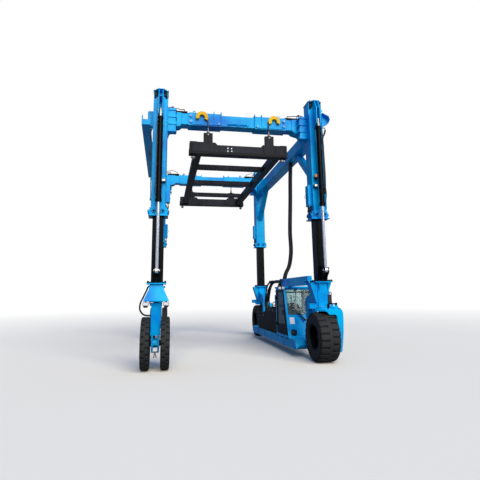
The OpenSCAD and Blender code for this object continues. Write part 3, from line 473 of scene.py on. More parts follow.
def hexes(centres, axis, radius, height):
    """Hexagon heads standing on centres along axis, with a chamfered top edge."""
    axis = np.asarray(axis, float)
    axis /= np.linalg.norm(axis)
    side = np.cross(axis, (0.31, 0.17, 0.93) if abs(axis[2]) < 0.9 else (1.0, 0.2, 0.0))
    side /= np.linalg.norm(side)
    other = np.cross(axis, side)
    a = turn(6)
    rim = np.cos(a)[:, None] * side + np.sin(a)[:, None] * other
    rings = np.stack([rim * radius, rim * radius + axis * height * 0.8,
                      rim * radius * 0.82 + axis * height])
    centres = np.asarray(centres, float).reshape(-1, 3)
    faces = []
    for n in range(len(centres)):
        faces += grid_faces(3, 6, n * 18, caps=True)
    return (centres[:, None, None] + rings[None]).reshape(-1, 3), faces


def circle(centre, radius, count, axis="x", start=0.0):
    """Points spaced evenly on a circle about an axis through centre."""
    a = start + turn(count)
    c, s, o = radius * np.cos(a), radius * np.sin(a), 0 * a
    around = {"x": (o, c, s), "y": (c, o, s), "z": (c, s, o)}[axis]
    return np.stack(around, -1) + np.asarray(centre)


def dome(centre, radius, height, axis=(1, 0, 0), sides=28):
    """A flat-topped cap: a profile of radius and rise turned about its axis."""
    axis = np.asarray(axis, float)
    side = np.cross(axis, (0, 0.6, 0.8) if abs(axis[2]) < 0.9 else (1.0, 0.0, 0.0))
    side /= np.linalg.norm(side)
    other = np.cross(axis, side)
    profile = np.array([(1.0, 0.0), (1.0, 0.45), (0.94, 0.62), (0.80, 0.8), (0.55, 0.93),
                        (0.02, 1.0)]) * [radius, height]
    a = turn(sides)
    around = np.cos(a)[:, None] * side + np.sin(a)[:, None] * other
    points = (profile[:, None, :1] * around[None] + profile[:, None, 1:] * axis).reshape(-1, 3)
    return points + np.asarray(centre), grid_faces(len(profile), sides, caps=True)


for corner, (x, y) in leg_at.items():
    nuts, caps = [], []
    if corner in left_legs:
        body, z = corner + "_wheels", tyre_sizes["left"][0]
        for s in (-1, 1):
            face = x + s * (0.209 + 0.065)
            bolt_ring = circle((face - s * 0.002, y, z), 0.205, 10)
            nuts.append(hexes(bolt_ring, (s, 0, 0), 0.015, 0.02))
            caps.append(dome((face - s * 0.01, y, z), 0.085, 0.035, (s, 0, 0)))
    else:
        body, z = corner + "_wheel", tyre_sizes["right"][0]
        bolt_ring = circle((x - 0.03 - 0.034 + 0.002, y, z), 0.15, 12)
        nuts.append(hexes(bolt_ring, (-1, 0, 0), 0.015, 0.02))
        caps.append(dome((x - 0.13, y, z), 0.06, 0.03, (-1, 0, 0)))
    put("wheel_nuts_" + corner, nuts, zinc, body)
    cap = outward(surface("hub_caps_" + corner, *join_parts(caps), black))
    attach(cap, body)

# ---------------------------------------------------------------- slewing rings and yokes
# Each right wheel turns under a bolted ball bearing ring. Cap screws stand in a circle on
# the ring's upper half, and a hose feeds the wheel's drive motor down the yoke's arm. A
# stepped steel cap closes the axle outboard.


def legs(corners):
    """Gives each leg's name and a function from the leg's own frame to the machine's.

    In its own frame a leg stands at the origin, with x outboard and y to its end of the bay.
    """
    for corner in corners:
        leg = np.array([*leg_at[corner], 0.0])
        turned = [np.sign(leg[0]), np.sign(leg[1]), 1]
        yield corner, lambda points, leg=leg, turned=turned: (
            np.asarray(points, float) * turned + leg)


def slab(centre, size, cut=0.006):
    """A block with chamfered edges: an octagon outline at four heights, pulled in at two."""
    half = np.asarray(size, float) / 2
    c = min(cut, *(half * 0.9))
    x, y, z = half
    wide = np.array([(x, -y + c), (x, y - c), (x - c, y), (-x + c, y), (-x, y - c), (-x, -y + c),
                     (-x + c, -y), (x - c, -y)])
    narrow = wide * [(x - c) / x, (y - c) / y]
    rings = [np.column_stack([o, np.full(8, h)])
             for o, h in ((narrow, -z), (wide, -z + c), (wide, z - c), (narrow, z))]
    return np.concatenate(rings) + np.asarray(centre, float), grid_faces(4, 8, caps=True)


def along(points, count):
    """A smooth curve through points: cubic pieces with slopes from each point's neighbours."""
    p = np.asarray(points, float)
    t = np.concatenate([[0], np.cumsum(np.linalg.norm(np.diff(p, axis=0), axis=1))])
    slope = np.gradient(p, t, axis=0)
    s = np.linspace(0, t[-1], count)
    k = np.clip(np.searchsorted(t, s, side="right") - 1, 0, len(p) - 2)
    h = (t[k + 1] - t[k])[:, None]
    u = ((s - t[k]) / (t[k + 1] - t[k]))[:, None]
    return ((1 + 2 * u) * (1 - u) ** 2 * p[k] + u * (1 - u) ** 2 * h * slope[k]
            + u ** 2 * (3 - 2 * u) * p[k + 1] + u ** 2 * (u - 1) * h * slope[k + 1])


def pipe(path, radius, sides=12):
    """Carries a circle along a path: two directions square to it, the same all the way."""
    path = np.asarray(path, float)
    ahead = np.gradient(path, axis=0)
    ahead /= np.linalg.norm(ahead, axis=1, keepdims=True)
    least = np.linalg.svd(ahead, full_matrices=True)[2][-1]
    side = np.cross(ahead, least)
    side /= np.linalg.norm(side, axis=1, keepdims=True)
    other = np.cross(ahead, side)
    a = turn(sides)
    radius = np.broadcast_to(np.asarray(radius, float).reshape(-1, 1, 1), (len(path), 1, 1))
    points = path[:, None] + radius * (np.cos(a)[None, :, None] * side[:, None]
                                       + np.sin(a)[None, :, None] * other[:, None])
    return points.reshape(-1, 3), grid_faces(len(path), sides, caps=True)


axle_z = tyre_sizes["right"][0]
ring_z = 1.248
for corner, at in legs(right_legs):
    mount = corner + "_mount"
    screws = hexes(circle(at((0, 0, ring_z)), 0.192, 24, "z", 0.1), (0, 0, 1), 0.009, 0.012)
    put("ring_screws_" + corner, [screws], zinc, "chassis")
    hose = along(at([(0.24, 0.10, 1.198), (0.30, 0.18, 1.206), (0.362, 0.20, 1.192),
                     (0.398, 0.18, 1.12), (0.4035, 0.15, 0.98), (0.400, 0.10, 0.80),
                     (0.394, 0.06, 0.66)]), 40)
    put("yoke_hose_" + corner, [pipe(hose, 0.011)], hose_rubber, mount, True)
    plate = at((0.372, 0.0, axle_z))
    put("axle_cap_" + corner,
        [dome(plate, 0.115, 0.03), dome(plate + [0.015, 0, 0], 0.07, 0.032),
         hexes(circle(plate + [0.012, 0, 0], 0.095, 10), (1, 0, 0), 0.010, 0.022),
         slab(at((0.397, 0.13, 0.90)), (0.02, 0.05, 0.02), 0.003),
         slab(at((0.394, 0.078, 0.73)), (0.02, 0.05, 0.02), 0.003)], steel, mount)

# ---------------------------------------------------------------- yokes
# A yoke is one weldment: a thick top plate under the slewing ring, a deep lipped fascia that
# clears the tread, and a tapered box arm that drops outboard of the tyre to the stub axle.


def prism(outline, lows, highs, axis=1):
    """Carries a flat outline from lows to highs along an axis, one end value per corner."""
    outline = np.asarray(outline, float)
    ends = [np.broadcast_to(np.asarray(v, float), (len(outline),)) for v in (lows, highs)]
    rings = [np.insert(outline, axis, e, axis=1) for e in ends]
    return np.concatenate(rings), grid_faces(2, len(outline), caps=True)


def arm_box(levels, inner, outer, deep, cut=0.012):
    """A closed box arm: at each level an eight-sided section from inner to outer, deep each way."""
    levels, inner, outer, deep = (np.array(v)[:, None] for v in (levels, inner, outer, deep))
    x = np.concatenate([outer, outer, outer - cut, inner + cut, inner, inner, inner + cut,
                        outer - cut], 1)
    y = np.concatenate([cut - deep, deep - cut, deep, deep, deep - cut, cut - deep, -deep,
                        -deep], 1)
    points = np.stack([x, y, levels + 0 * x], -1).reshape(-1, 3)
    return points, grid_faces(len(levels), 8, caps=True)


plate_outline = [(-0.21, -0.12), (-0.09, -0.24), (-0.02, -0.30), (0.34, -0.30), (0.34, 0.30),
                 (-0.02, 0.30), (-0.09, 0.24), (-0.21, 0.12)]
lip = [(-0.06, 1.188), (-0.06, 1.145), (-0.01, 1.135), (0.05, 1.068), (0.19, 1.066),
       (0.232, 1.035), (0.25, 1.035), (0.25, 1.188)]
fin = [(0.21, 1.186), (0.245, 1.30), (0.255, 1.335), (0.285, 1.335), (0.295, 1.30),
       (0.345, 1.186)]
sheet = 0.018
for corner, at in legs(right_legs):
    parts = [prism(plate_outline, 1.142, 1.190, axis=2)]
    parts += [prism(lip, y, y + sheet) for y in (-0.302, 0.284)]
    parts.append(arm_box([0.23, 0.27, 0.42, 0.56, 0.70, 0.95, 1.10, 1.16, 1.191],
                         [0.266, 0.250, 0.240, 0.234, 0.232, 0.231, 0.231, 0.231, 0.231],
                         [0.335, 0.348, 0.365, 0.377, 0.386, 0.392, 0.388, 0.372, 0.342],
                         [0.228, 0.240, 0.256, 0.268, 0.280, 0.296, 0.302, 0.302, 0.302]))
    parts += [prism(fin, y, y + sheet) for y in (-0.075, 0.174)]
    for radius, z in ((0.232, 1.180), (0.222, 1.214)):
        a = turn(64)
        round_edge = np.column_stack([radius * np.cos(a), radius * np.sin(a)])
        parts.append(prism(round_edge, 1.150, z, axis=2))
    parts = [(at(points), faces) for points, faces in parts]
    for reach, radius in ((-0.035, 0.049), (0.205, 0.088)):
        ends = at([(reach, 0, axle_z), (0.235, 0, axle_z)])
        parts.append(pipe(np.linspace(ends[0], ends[1], 4), radius, 28))
    yoke = put("yoke_weldment_" + corner, parts, azure, corner + "_mount")
    edges = yoke.modifiers.new("ground_edges", "BEVEL")
    edges.width = 0.004
    edges.segments = 2
    edges.limit_method = "ANGLE"
    edges.angle_limit = 0.6
    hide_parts("yoke_" + corner)

# ---------------------------------------------------------------- left fork fittings
# The twin wheels' axle is locked between the cheeks by a ring of steel bolts, and a steel
# strap across the cheeks' feet carries two slanted tongues.
for corner, at in legs(left_legs):
    bolts = [hexes(circle(at((s * 0.0835, 0.0, 0.55)), 0.078, 8, "x", 0.2), (-s, 0, 0),
                   0.009, 0.012) for s in (-1, 1)]
    tongues = [pipe(along(at([(s * 0.010, 0.080, 0.366), (s * 0.014, 0.090, 0.31),
                              (s * 0.030, 0.10, 0.262)]), 8), 0.011, 6) for s in (-1, 1)]
    strap = slab(at((0, 0.075, 0.373)), (0.132, 0.03, 0.022), 0.003)
    put("fork_keeper_" + corner, bolts + tongues + [strap], steel, corner + "_mount")

# ---------------------------------------------------------------- flange bolts
# The masts stand on the columns' heads through two thick flanges, drawn together by rows of
# large black oxide bolts with their nuts below. None stands where the rod's bracket is.
leg_body = {"front_left": "left_front_leg", "rear_left": "left_rear_leg",
            "front_right": "chassis", "rear_right": "chassis"}
bolt_line, flange_top, flange_foot = (-0.185, -0.062, 0.062, 0.185), 1.85, 1.80
spots = np.array([(x, -0.185) for x in bolt_line] + [(x, 0.185) for x in bolt_line[::3]]
                 + [(s * 0.185, y) for s in (-1, 1) for y in bolt_line[1:3]])
for corner, at in legs(leg_at):
    above, below = (at(np.insert(spots, 2, z, axis=1)) for z in (flange_top, flange_foot))
    bolts = [hexes(above, (0, 0, 1), 0.018, 0.020), hexes(below[::2], (0, 0, -1), 0.016, 0.010)]
    put("flange_bolts_" + corner, bolts, blued, leg_body[corner])

# ---------------------------------------------------------------- skirt lamps
# Two work lamps hang from brackets at the outer corners of each left skirt: a black moulded
# body with a white ribbed lens that looks out of the open end.


def ribbed(name, scale, direction, dark, pale, coat):
    """Clear glossy plastic over a reflector: a wave of ribs runs from a dark to a pale tint."""
    material, t = blank(name)
    place = add(t, "TexCoord").outputs["Object"]
    ribs = add(t, "TexWave", [("Vector", place)], Scale=scale, bands_direction=direction)
    tint = add(t, "ValToRGB", [(0, ribs.outputs["Fac"])], [(0.2, dark), (0.8, pale)])
    glassy = add(t, "BsdfPrincipled", [("Base Color", tint)], Roughness=0.12, IOR=1.49,
                 Coat_Weight=coat)
    add(t, "OutputMaterial", [("Surface", glassy)])
    return material


lens = ribbed("ribbed_white_lens", 14.0, "X", "#D9DCDC", "#F7F8F8", 0.5)
for corner, at in legs(left_legs):
    shells, lenses = [], []
    for x in (-0.215, 0.215):
        shells += [slab(at((x, 0.278, 1.375)), (0.125, 0.07, 0.085), 0.012),
                   slab(at((x, 0.262, 1.425)), (0.03, 0.05, 0.03), 0.003),
                   slab(at((x, 0.272, 1.318)), (0.09, 0.05, 0.03), 0.006)]
        lenses.append(slab(at((x, 0.316, 1.378)), (0.108, 0.012, 0.064), 0.005))
    put("skirt_lamp_shells_" + corner, shells, lamp_plastic, leg_body[corner])
    put("skirt_lamp_lenses_" + corner, lenses, lens, leg_body[corner])

# ---------------------------------------------------------------- lift cylinder fittings
# Each lift barrel has a bolted gland and a hard steel oil line, painted black and clipped to
# its side by four bands. Bare steel keepers lock the pin at its head.
barrel_y, barrel_r = 0.345, 0.0645
for corner, at in legs(leg_at):
    gland = hexes(circle(at((0, barrel_y, 3.60)), 0.055, 8, "z", 0.2), (0, 0, -1), 0.008, 0.010)
    line = along(at([(0.045, 0.395, 3.655), (0.066, 0.412, 3.72), (0.064, 0.414, 4.2),
                     (0.064, 0.414, 5.2), (0.066, 0.410, 5.46), (0.048, 0.393, 5.53)]), 30)
    parts = [gland, pipe(line, 0.009, 8)]
    for z in (3.95, 4.45, 4.95, 5.40):
        band = circle(at((0, barrel_y, z)), barrel_r, 24, "z")
        parts.append(pipe(np.vstack([band, band[:2]]), 0.006, 6))
        parts.append(slab(at((0.055, 0.405, z)), (0.03, 0.03, 0.022), 0.004))
    put("oil_line_" + corner, parts, lamp_plastic, "lifting_frame", True)
    keepers = [slab(at((x, 0.372, 5.772)), (0.006, 0.05, 0.03), 0.002)
               for x in (-0.0595, 0.0595)]
    put("pin_keepers_" + corner, keepers, steel, "lifting_frame")

# ---------------------------------------------------------------- pad covers
# The slide pads at a sleeve's foot sit behind round covers. Each is held by a ring of small
# screws and adjusted by one large set screw in its middle.
cover_z, cover_face, cover_off = 3.42, 0.226, 0.10
for corner, at in legs(leg_at):
    heads, disks = [], []
    for quarter in range(4):
        a = quarter * np.pi / 2
        normal = np.array([np.sin(a), np.cos(a), 0.0])
        across = np.array([np.cos(a), -np.sin(a), 0.0])
        for s in (-1, 1):
            centre = at((0, 0, cover_z)) + normal * cover_face + across * s * cover_off
            screws = circle(centre - normal * 0.001, 0.040, 6, "yx"[quarter % 2], 0.3)
            heads.append(hexes(screws, normal, 0.009, 0.010))
            disks.append(dome(centre - normal * 0.002, 0.025, 0.020, normal, 20))
    put("cover_screws_" + corner, heads, blued, "lifting_frame")
    put("cover_plugs_" + corner, disks, black, "lifting_frame")

# ---------------------------------------------------------------- sleeve heads
# At each sleeve's head folded dark wings stand under the hood plate beside the two bracket
# plates, and rows of fillet weld run down the sleeve where its side strips are welded on. A
# small web stands out between the bracket plates, and a weld runs round the sleeve's foot.


def weld(path, radius=0.006):
    """A weld bead: a thin half round along a path with a ripple of its radius."""
    path = np.asarray(path, float)
    length = np.linalg.norm(np.diff(path, axis=0), axis=1).sum()
    count = int(np.clip(length / 0.03, 6, 120))
    fine = np.stack([np.interp(np.linspace(0, 1, count), np.linspace(0, 1, len(path)), path[:, k])
                     for k in range(3)], 1)
    return pipe(fine, radius * (1 + 0.18 * np.cos(np.arange(count) * np.pi)), 6)


collar, collar_z = 0.172, 3.34
for corner, at in legs(leg_at):
    wings, beads = [], []
    for s in (-1, 1):
        wings += [slab(at((s * 0.112, 0.185, 6.255)), (0.075, 0.03, 0.12), 0.006),
                  slab(at((s * 0.128, 0.182, 6.17)), (0.05, 0.024, 0.04), 0.005)]
        beads += [weld(at([(s * 0.166, 0.201, 3.56), (s * 0.166, 0.201, 6.0)]), 0.005),
                  weld(at([(s * 0.062, 0.174, 5.62), (s * 0.062, 0.174, 6.30)]))]
    beads.append(weld(at([(x * collar, y * collar, collar_z) for x, y in
                          ((-1, -1), (1, -1), (1, 1), (-1, 1), (-1, -1))]), 0.005))
    web = slab(at((0, 0.30, 6.12)), (0.07, 0.15, 0.014), 0.003)
    put("head_wings_" + corner, wings, black, "lifting_frame")
    put("sleeve_welds_" + corner, beads + [web], azure, "lifting_frame")

# ---------------------------------------------------------------- valve boxes
# The valve box on each sleeve's inner face has a hinged lid with a bent zinc plated grip,
# and a bank of hose unions under it from which hoses drop and turn back to the sleeve.
for corner, at in legs(leg_at):
    lid = [slab(at((-0.2525, 0, 3.91)), (0.009, 0.176, 0.486), 0.003)]
    lid += [slab(at((-0.252, 0.094, z)), (0.022, 0.022, 0.05), 0.004) for z in (3.74, 4.08)]
    put("valve_lid_" + corner, lid, azure, "lifting_frame")
    grip = along(at([(-0.256, -0.07, 3.86), (-0.275, -0.07, 3.87), (-0.275, -0.07, 3.95),
                     (-0.256, -0.07, 3.96)]), 16)
    unions, drops = [], []
    for y in (-0.06, -0.02, 0.02, 0.06):
        unions.append(hexes(at((-0.215, y, 3.65)), (0, 0, -1), 0.014, 0.03))
        drop = along(at([(-0.215, y, 3.625), (-0.215, y, 3.58), (-0.222, y * 1.2, 3.54),
                         (-0.206, y * 1.5, 3.515), (-0.182, y * 1.5, 3.54),
                         (-0.176, y * 1.5, 3.58)]), 24)
        drops.append(pipe(drop, 0.010, 8))
    unions.append(pipe(grip, 0.006, 8))
    put("valve_unions_" + corner, unions, zinc, "lifting_frame")
    put("valve_hoses_" + corner, drops, hose_rubber, "lifting_frame", True)

# ---------------------------------------------------------------- cable loops on the sleeves
# Control cables run down the outboard side of each sleeve. On the left they leave the tray in
# slack loops between their clamps; on the right they lie straight.
clamp_z, clamp_step, straight = 4.65, 0.40, 0.12
for corner, at in legs(leg_at):
    slack = 1.0 if corner in left_legs else straight
    z = np.linspace(5.45, 3.70, 80)
    bows = (np.abs(np.sin((z - clamp_z) / clamp_step * np.pi)) ** 1.3
            * np.where(z > clamp_z, slack, straight))
    cables = [pipe(at(np.column_stack([0.184 + bow * bows, 0.08 + off + 0.012 * bows, z])),
                   0.008, 8) for off, bow in ((-0.025, 0.035), (0.0, 0.055), (0.025, 0.028))]
    clamps = [slab(at((0.184, 0.08, z)), (0.034, 0.09, 0.03), 0.005)
              for z in (*(clamp_z + clamp_step * np.arange(3)), 3.70, 4.18)]
    put("side_cables_" + corner, cables, hose_rubber, "lifting_frame", True)
    put("cable_clamps_" + corner, clamps, lamp_plastic, "lifting_frame")

# ---------------------------------------------------------------- beacon and lamp boxes
# A grey cast lamp box stands out from each sleeve under the cross beam. The front right and
# rear left sleeves also carry a flashing beacon: an amber dome on a black base.
amber_dome = ribbed("amber_beacon_dome", 30.0, "Z", "#F06A08", "#FF9A28", 0.6)
for corner, at in legs(("front_left", "front_right", "rear_left", "rear_right")):
    boxes = [slab(at((-0.10, 0.225, 4.12)), (0.10, 0.09, 0.075), 0.01),
             slab(at((-0.10, 0.185, 4.14)), (0.05, 0.04, 0.04), 0.004)]
    put("lamp_box_" + corner, boxes, slate, "lifting_frame")
    face = slab(at((-0.10, 0.272, 4.12)), (0.08, 0.008, 0.055), 0.004)
    put("lamp_lens_" + corner, [face], lens, "lifting_frame")
    if corner in ("front_right", "rear_left"):
        foot = at((-0.08, 0.235, 4.31))
        low = [dome(foot, 0.05, 0.03, (0, 0, 1)),
               slab(at((-0.08, 0.20, 4.305)), (0.06, 0.07, 0.014), 0.003)]
        put("beacon_base_" + corner, low, lamp_plastic, "lifting_frame")
        cover = dome(foot + [0, 0, 0.026], 0.042, 0.085, (0, 0, 1), 32)
        put("beacon_dome_" + corner, [cover], amber_dome, "lifting_frame", True)

# ---------------------------------------------------------------- cross beam fittings
# The cross beams are bolted to the sleeves' tie boxes, stiffened by welded ribs at their
# taller ends, and carry two hard oil lines in clamps on the middle of their outer face.
beam_y = 2.77
open_ends = ((-1, "front"), (1, "rear"))
quarters = [(end, s, f"{side}_{hand}") for end, side in open_ends
            for s, hand in ((-1, "left"), (1, "right"))]
for end, side in open_ends:
    ribs, bolts, beads = [], [], []
    for s in (-1, 1):
        ribs += [slab((s * x, end * 2.928, 5.83), (0.014, 0.022, 0.27), 0.003)
                 for x in (1.41, 1.56)]
        ribs.append(slab((s * 2.226, end * beam_y, 5.84), (0.012, 0.24, 0.26), 0.003))
        bolts += [hexes((s * 1.560, end * y, z), (-s, 0, 0), 0.015, 0.012)
                  for z in (5.55, 5.74, 5.93) for y in (2.955, 3.06, 3.135)]
        beads.append(weld([(s * 1.40, end * 2.922, 5.69), (s * 1.62, end * 2.922, 5.62)], 0.005))
    for z in (5.73, 5.755):
        ribs.append(pipe(np.linspace((-0.27, end * 2.932, z), (0.27, end * 2.932, z), 20),
                         0.008, 8))
    ribs += [slab((x, end * 2.93, 5.742), (0.03, 0.024, 0.06), 0.003) for x in (-0.24, 0.0, 0.24)]
    put("beam_ribs_" + side, ribs + beads, azure, "lifting_frame")
    put("tie_bolts_" + side, bolts, blued, "lifting_frame")

# ---------------------------------------------------------------- side shift hoses
# Two hoses feed each side shift barrel: they leave a block on the beam's end, arch over the
# barrel and screw into its ports with zinc plated unions. Bare steel pin heads close the
# carriage's lug round the eye of the rod.
for end, s, tag in quarters:
    loops, ends = [], []
    for k, port_x in enumerate((1.34, 1.60)):
        y = end * (beam_y - 0.055 + 0.11 * k)
        path = along([(s * 1.80, y, 6.03), (s * 1.78, y, 6.11), (s * (1.70 - 0.1 * k), y, 6.165),
                      (s * (port_x + 0.06), y, 6.16), (s * (port_x + 0.005), end * beam_y, 6.13),
                      (s * port_x, end * beam_y, 6.10)], 36)
        loops.append(pipe(path, 0.010, 8))
        ends += [hexes((s * port_x, end * beam_y, 6.088), (0, 0, 1), 0.014, 0.024),
                 hexes((s * 1.80, y, 6.01), (0, 0, 1), 0.014, 0.03)]
    ends.append(slab((s * 1.80, end * beam_y, 6.0), (0.07, 0.17, 0.04), 0.004))
    put("shift_hoses_" + tag, loops, hose_rubber, "lifting_frame", True)
    put("shift_unions_" + tag, ends, zinc, "lifting_frame")
    pins = [dome((s * 1.10, end * beam_y + face * 0.05, 6.055), 0.03, 0.012, (0, face, 0), 20)
            for face in (-1, 1)]
    put("shift_pins_" + tag, pins, steel, "spreader")

# ---------------------------------------------------------------- carriages
# The carriages run on pads behind round covers; bolts hold the covers, and gusset plates
# stand above the box where the ribs are welded to its inner end.
for end, s, tag in quarters:
    heads = []
    for x, z in ((1.19, 5.906), (1.19, 5.756), (0.495, 5.726)):
        centre = np.array([s * x, end * 2.970, z])
        heads += [hexes(circle(centre, 0.029, 6, "y", 0.3), (0, end, 0), 0.005, 0.006),
                  hexes(centre, (0, end, 0), 0.012, 0.014)]
    plates = [slab((s * x, end * beam_y, 6.000), (0.09, 0.016, 0.05), 0.003)
              for x in (0.501, 0.681)]
    plates += [slab((s * 0.92, end * beam_y, 6.002), (0.30, 0.30, 0.014), 0.003),
               slab((s * 0.84, end * 2.952, 5.70), (0.66, 0.014, 0.03), 0.003)]
    put("carriage_bolts_" + tag, heads, zinc, "spreader")
    put("carriage_plates_" + tag, plates, azure, "spreader")

# ---------------------------------------------------------------- spreader fittings
# The spreader's end beams are stiffened by ribs, covered by bolted plates over the locks and
# joined to the hangers by pins. A near black strip along their lower edge is painted shade,
# standing for the dark gap under the beams; two near black plates stand at the lock boxes'
# outer ends. Four white plugs close the holes in each outer face.
hang_x, hang_y = 0.77, 2.989
lock_x, lock_y = 1.1295, 2.9265
end_face = 3.0365 + 0.004
for end, side in open_ends:
    ribs, pins = [], []
    for s in (-1, 1):
        ribs += [slab((s * x, end * end_face, 5.05), (0.012, 0.016, 0.28), 0.002)
                 for x in (0.62, 0.92, 1.16)]
        ribs += [slab((s * lock_x, end * lock_y, 5.212), (0.17, 0.20, 0.016), 0.004),
                 slab((s * hang_x, end * hang_y, 5.452), (0.10, 0.07, 0.02), 0.004)]
        pins += [dome((s * hang_x, end * (hang_y + face * 0.046), 5.40), 0.026, 0.014,
                      (0, face * end, 0), 20) for face in (-1, 1)]
        pins.append(hexes(circle((s * lock_x, end * lock_y, 5.22), 0.055, 6, "z", 0.2),
                          (0, 0, 1), 0.010, 0.014))
    # Painted shade: a near black strip where the gap under the beam lies dark.
    strip = [slab((0, end * 3.042, 4.934), (2.40, 0.012, 0.072), 0.004)]
    strip += [slab((s * 1.226, end * lock_y, 4.97), (0.014, 0.20, 0.14), 0.004)
              for s in (-1, 1)]
    dots = [dome((x, end * end_face, z), 0.019, 0.010, (0, end, 0), 20)
            for x in (-0.29, -0.195) for z in (4.995, 5.065)]
    put("spreader_ribs_" + side, ribs, slate, "spreader")
    put("hanger_pins_" + side, pins, steel, "spreader")
    put("painted_shade_strip_" + side, strip, painted_shade_rubber, "spreader")
    put("end_plugs_" + side, dots, lens, "spreader", True)

# ---------------------------------------------------------------- hoses in the tray
# Four power hoses lie side by side, a little wavy, in the channel outboard of the left legs.
y = np.linspace(-3.24, 1.14, 50)
hoses = [pipe(np.column_stack([x + 0.008 * np.sin(y * 1.9 + k), y, z + 0.003 * np.sin(y * 5 + k)]),
              0.016, 10)
         for k, (x, z) in enumerate(((-2.30, 5.495), (-2.265, 5.497), (-2.225, 5.495),
                                     (-2.19, 5.499)))]
put("tray_hoses", hoses, hose_rubber, "lifting_frame", True)

# ---------------------------------------------------------------- sill
# The low sill is a welded plate box. Its sloped ends are closed by bright three-cornered
# plates with small pads on top, and bare steel kick strips lie on its inner face by the door.
toes = []
for end in (-1, 1):
    foot = end * 2.462
    wedge = np.array([(1.43, foot - end * 0.03, 0.405), (1.76, foot - end * 0.03, 0.405),
                      (1.44, foot + end * 0.05, 0.235)])
    toes.append((np.vstack([wedge, wedge - [0, end * 0.012, 0]]), grid_faces(2, 3, caps=True)))
    toes += [slab((x, end * 2.30, 0.424), (0.09, 0.05, 0.008), 0.002) for x in (1.50, 1.95)]
strips = [slab((1.4425, y, 0.40), (0.005, 0.26, 0.03), 0.002) for y in (-1.75, -1.30, -0.85)]
put("sill_toes", toes, azure, "chassis")
put("sill_kick_strips", strips, steel, "chassis")

# ---------------------------------------------------------------- cab trim
# The cab's panes sit in black rubber. A black sun strip crosses the top of the windscreen,
# a pantograph wiper hangs from it, and a gas strut braces the front from pane to panel.


def front_y(z, proud=0.0):
    """Y of the raked cab front at height z: 0.33 back over 1.28 up, less what stands proud."""
    return -1.87 + 0.33 / 1.28 * (z - 0.42) - proud


def frame_strip(corners, radius):
    """A rubber strip round an opening: a small pipe through its four corners and back."""
    corners = np.asarray(corners, float)
    loop = np.vstack([corners, corners[:2]])
    stations = np.linspace(0, 4, 65)
    return pipe(np.stack([np.interp(stations, np.arange(6), loop[:, k]) for k in range(3)], 1),
                radius, 6)


pane_y = {z: front_y(z) + 0.02 for z in (1.0, 1.69)}
rubbers = [frame_strip([(x, pane_y[z], z) for x, z in ((1.51, 1.0), (2.21, 1.0), (2.21, 1.69),
                                                       (1.51, 1.69))], 0.012),
           frame_strip([(1.449, -1.66, 0.73), (1.449, -0.84, 0.73), (1.449, -0.84, 1.60),
                        (1.449, -1.46, 1.60)], 0.010),
           frame_strip([(2.271, -1.66, 1.01), (2.271, -0.78, 1.01), (2.271, -0.78, 1.64),
                        (2.271, -1.50, 1.64)], 0.010),
           slab((1.86, front_y(1.585) + 0.012, 1.585), (0.68, 0.012, 0.03), 0.003)]
put("window_rubbers", rubbers, hose_rubber, "chassis", True)

arm = along([(x, front_y(z, proud), z) for x, proud, z in
             ((1.78, 0.02, 1.64), (1.765, 0.035, 1.50), (1.72, 0.03, 1.36), (1.64, 0.018, 1.24))],
            24)
blade = along([(x, front_y(z, 0.012), z) for x, z in ((1.64, 1.50), (1.63, 1.30), (1.64, 1.10))],
              16)
motor = slab((1.78, front_y(1.64, 0.01), 1.645), (0.07, 0.045, 0.05), 0.008)
put("wiper", [pipe(arm, 0.008, 8), pipe(blade, 0.009, 6), motor], lamp_plastic, "chassis", True)
strut_top = np.array((1.64, front_y(1.26, 0.03), 1.26))
strut_low = np.array((1.93, front_y(0.86, 0.05), 0.86))
middle = strut_top * 0.45 + strut_low * 0.55
put("strut_barrel", [pipe(np.linspace(middle, strut_low, 6), 0.022, 14),
                     slab(strut_low, (0.05, 0.05, 0.05), 0.01)], lamp_plastic, "chassis", True)
put("strut_rod", [pipe(np.linspace(strut_top, middle, 6), 0.010, 12),
                  slab(strut_top, (0.035, 0.035, 0.035), 0.006)], steel, "chassis", True)

# ---------------------------------------------------------------- placard and front lamp
# A bare white placard of coated label stock is stuck to the panel below the windscreen, and a
# black driving lamp stands under a folded hood beneath it.
placard, t = blank("bare_white_label_stock")
place = add(t, "TexCoord").outputs["Object"]
stain = add(t, "TexNoise", [("Vector", place)], Scale=22.0, Detail=5.0)
paper = add(t, "ValToRGB", [(0, stain)], [(0.45, "#FFFFFF"), (0.85, "#E4E8EC")])
coated = add(t, "BsdfPrincipled", [("Base Color", paper)], Roughness=0.35, IOR=1.5)
add(t, "OutputMaterial", [("Surface", coated)])
z = np.array([0.76, 0.76, 0.93, 0.93])
near = np.column_stack([(1.535, 1.665, 1.66, 1.53), front_y(z, -0.009), z])
put("bare_placard", [(np.vstack([near, near + [0, 0.004, 0]]), grid_faces(2, 4, caps=True))],
    placard, "chassis")
lamp_at = np.array((1.60, front_y(0.53), 0.53))
put("front_lamp_shell", [dome(lamp_at, 0.062, 0.05, (0, -1, 0))], lamp_plastic, "chassis", True)
put("front_lamp_lens", [dome(lamp_at - [0, 0.046, 0], 0.046, 0.012, (0, -1, 0))], lamp_plastic,
    "chassis", True)
hood = prism([(1.535, 0.50), (1.535, 0.60), (1.56, 0.63), (1.64, 0.63), (1.665, 0.60),
              (1.665, 0.50), (1.655, 0.50), (1.655, 0.595), (1.635, 0.615), (1.565, 0.615),
              (1.545, 0.595), (1.545, 0.50)], lamp_at[1] - 0.07, lamp_at[1] + 0.01)
put("front_lamp_hood", [hood], lamp_plastic, "chassis")

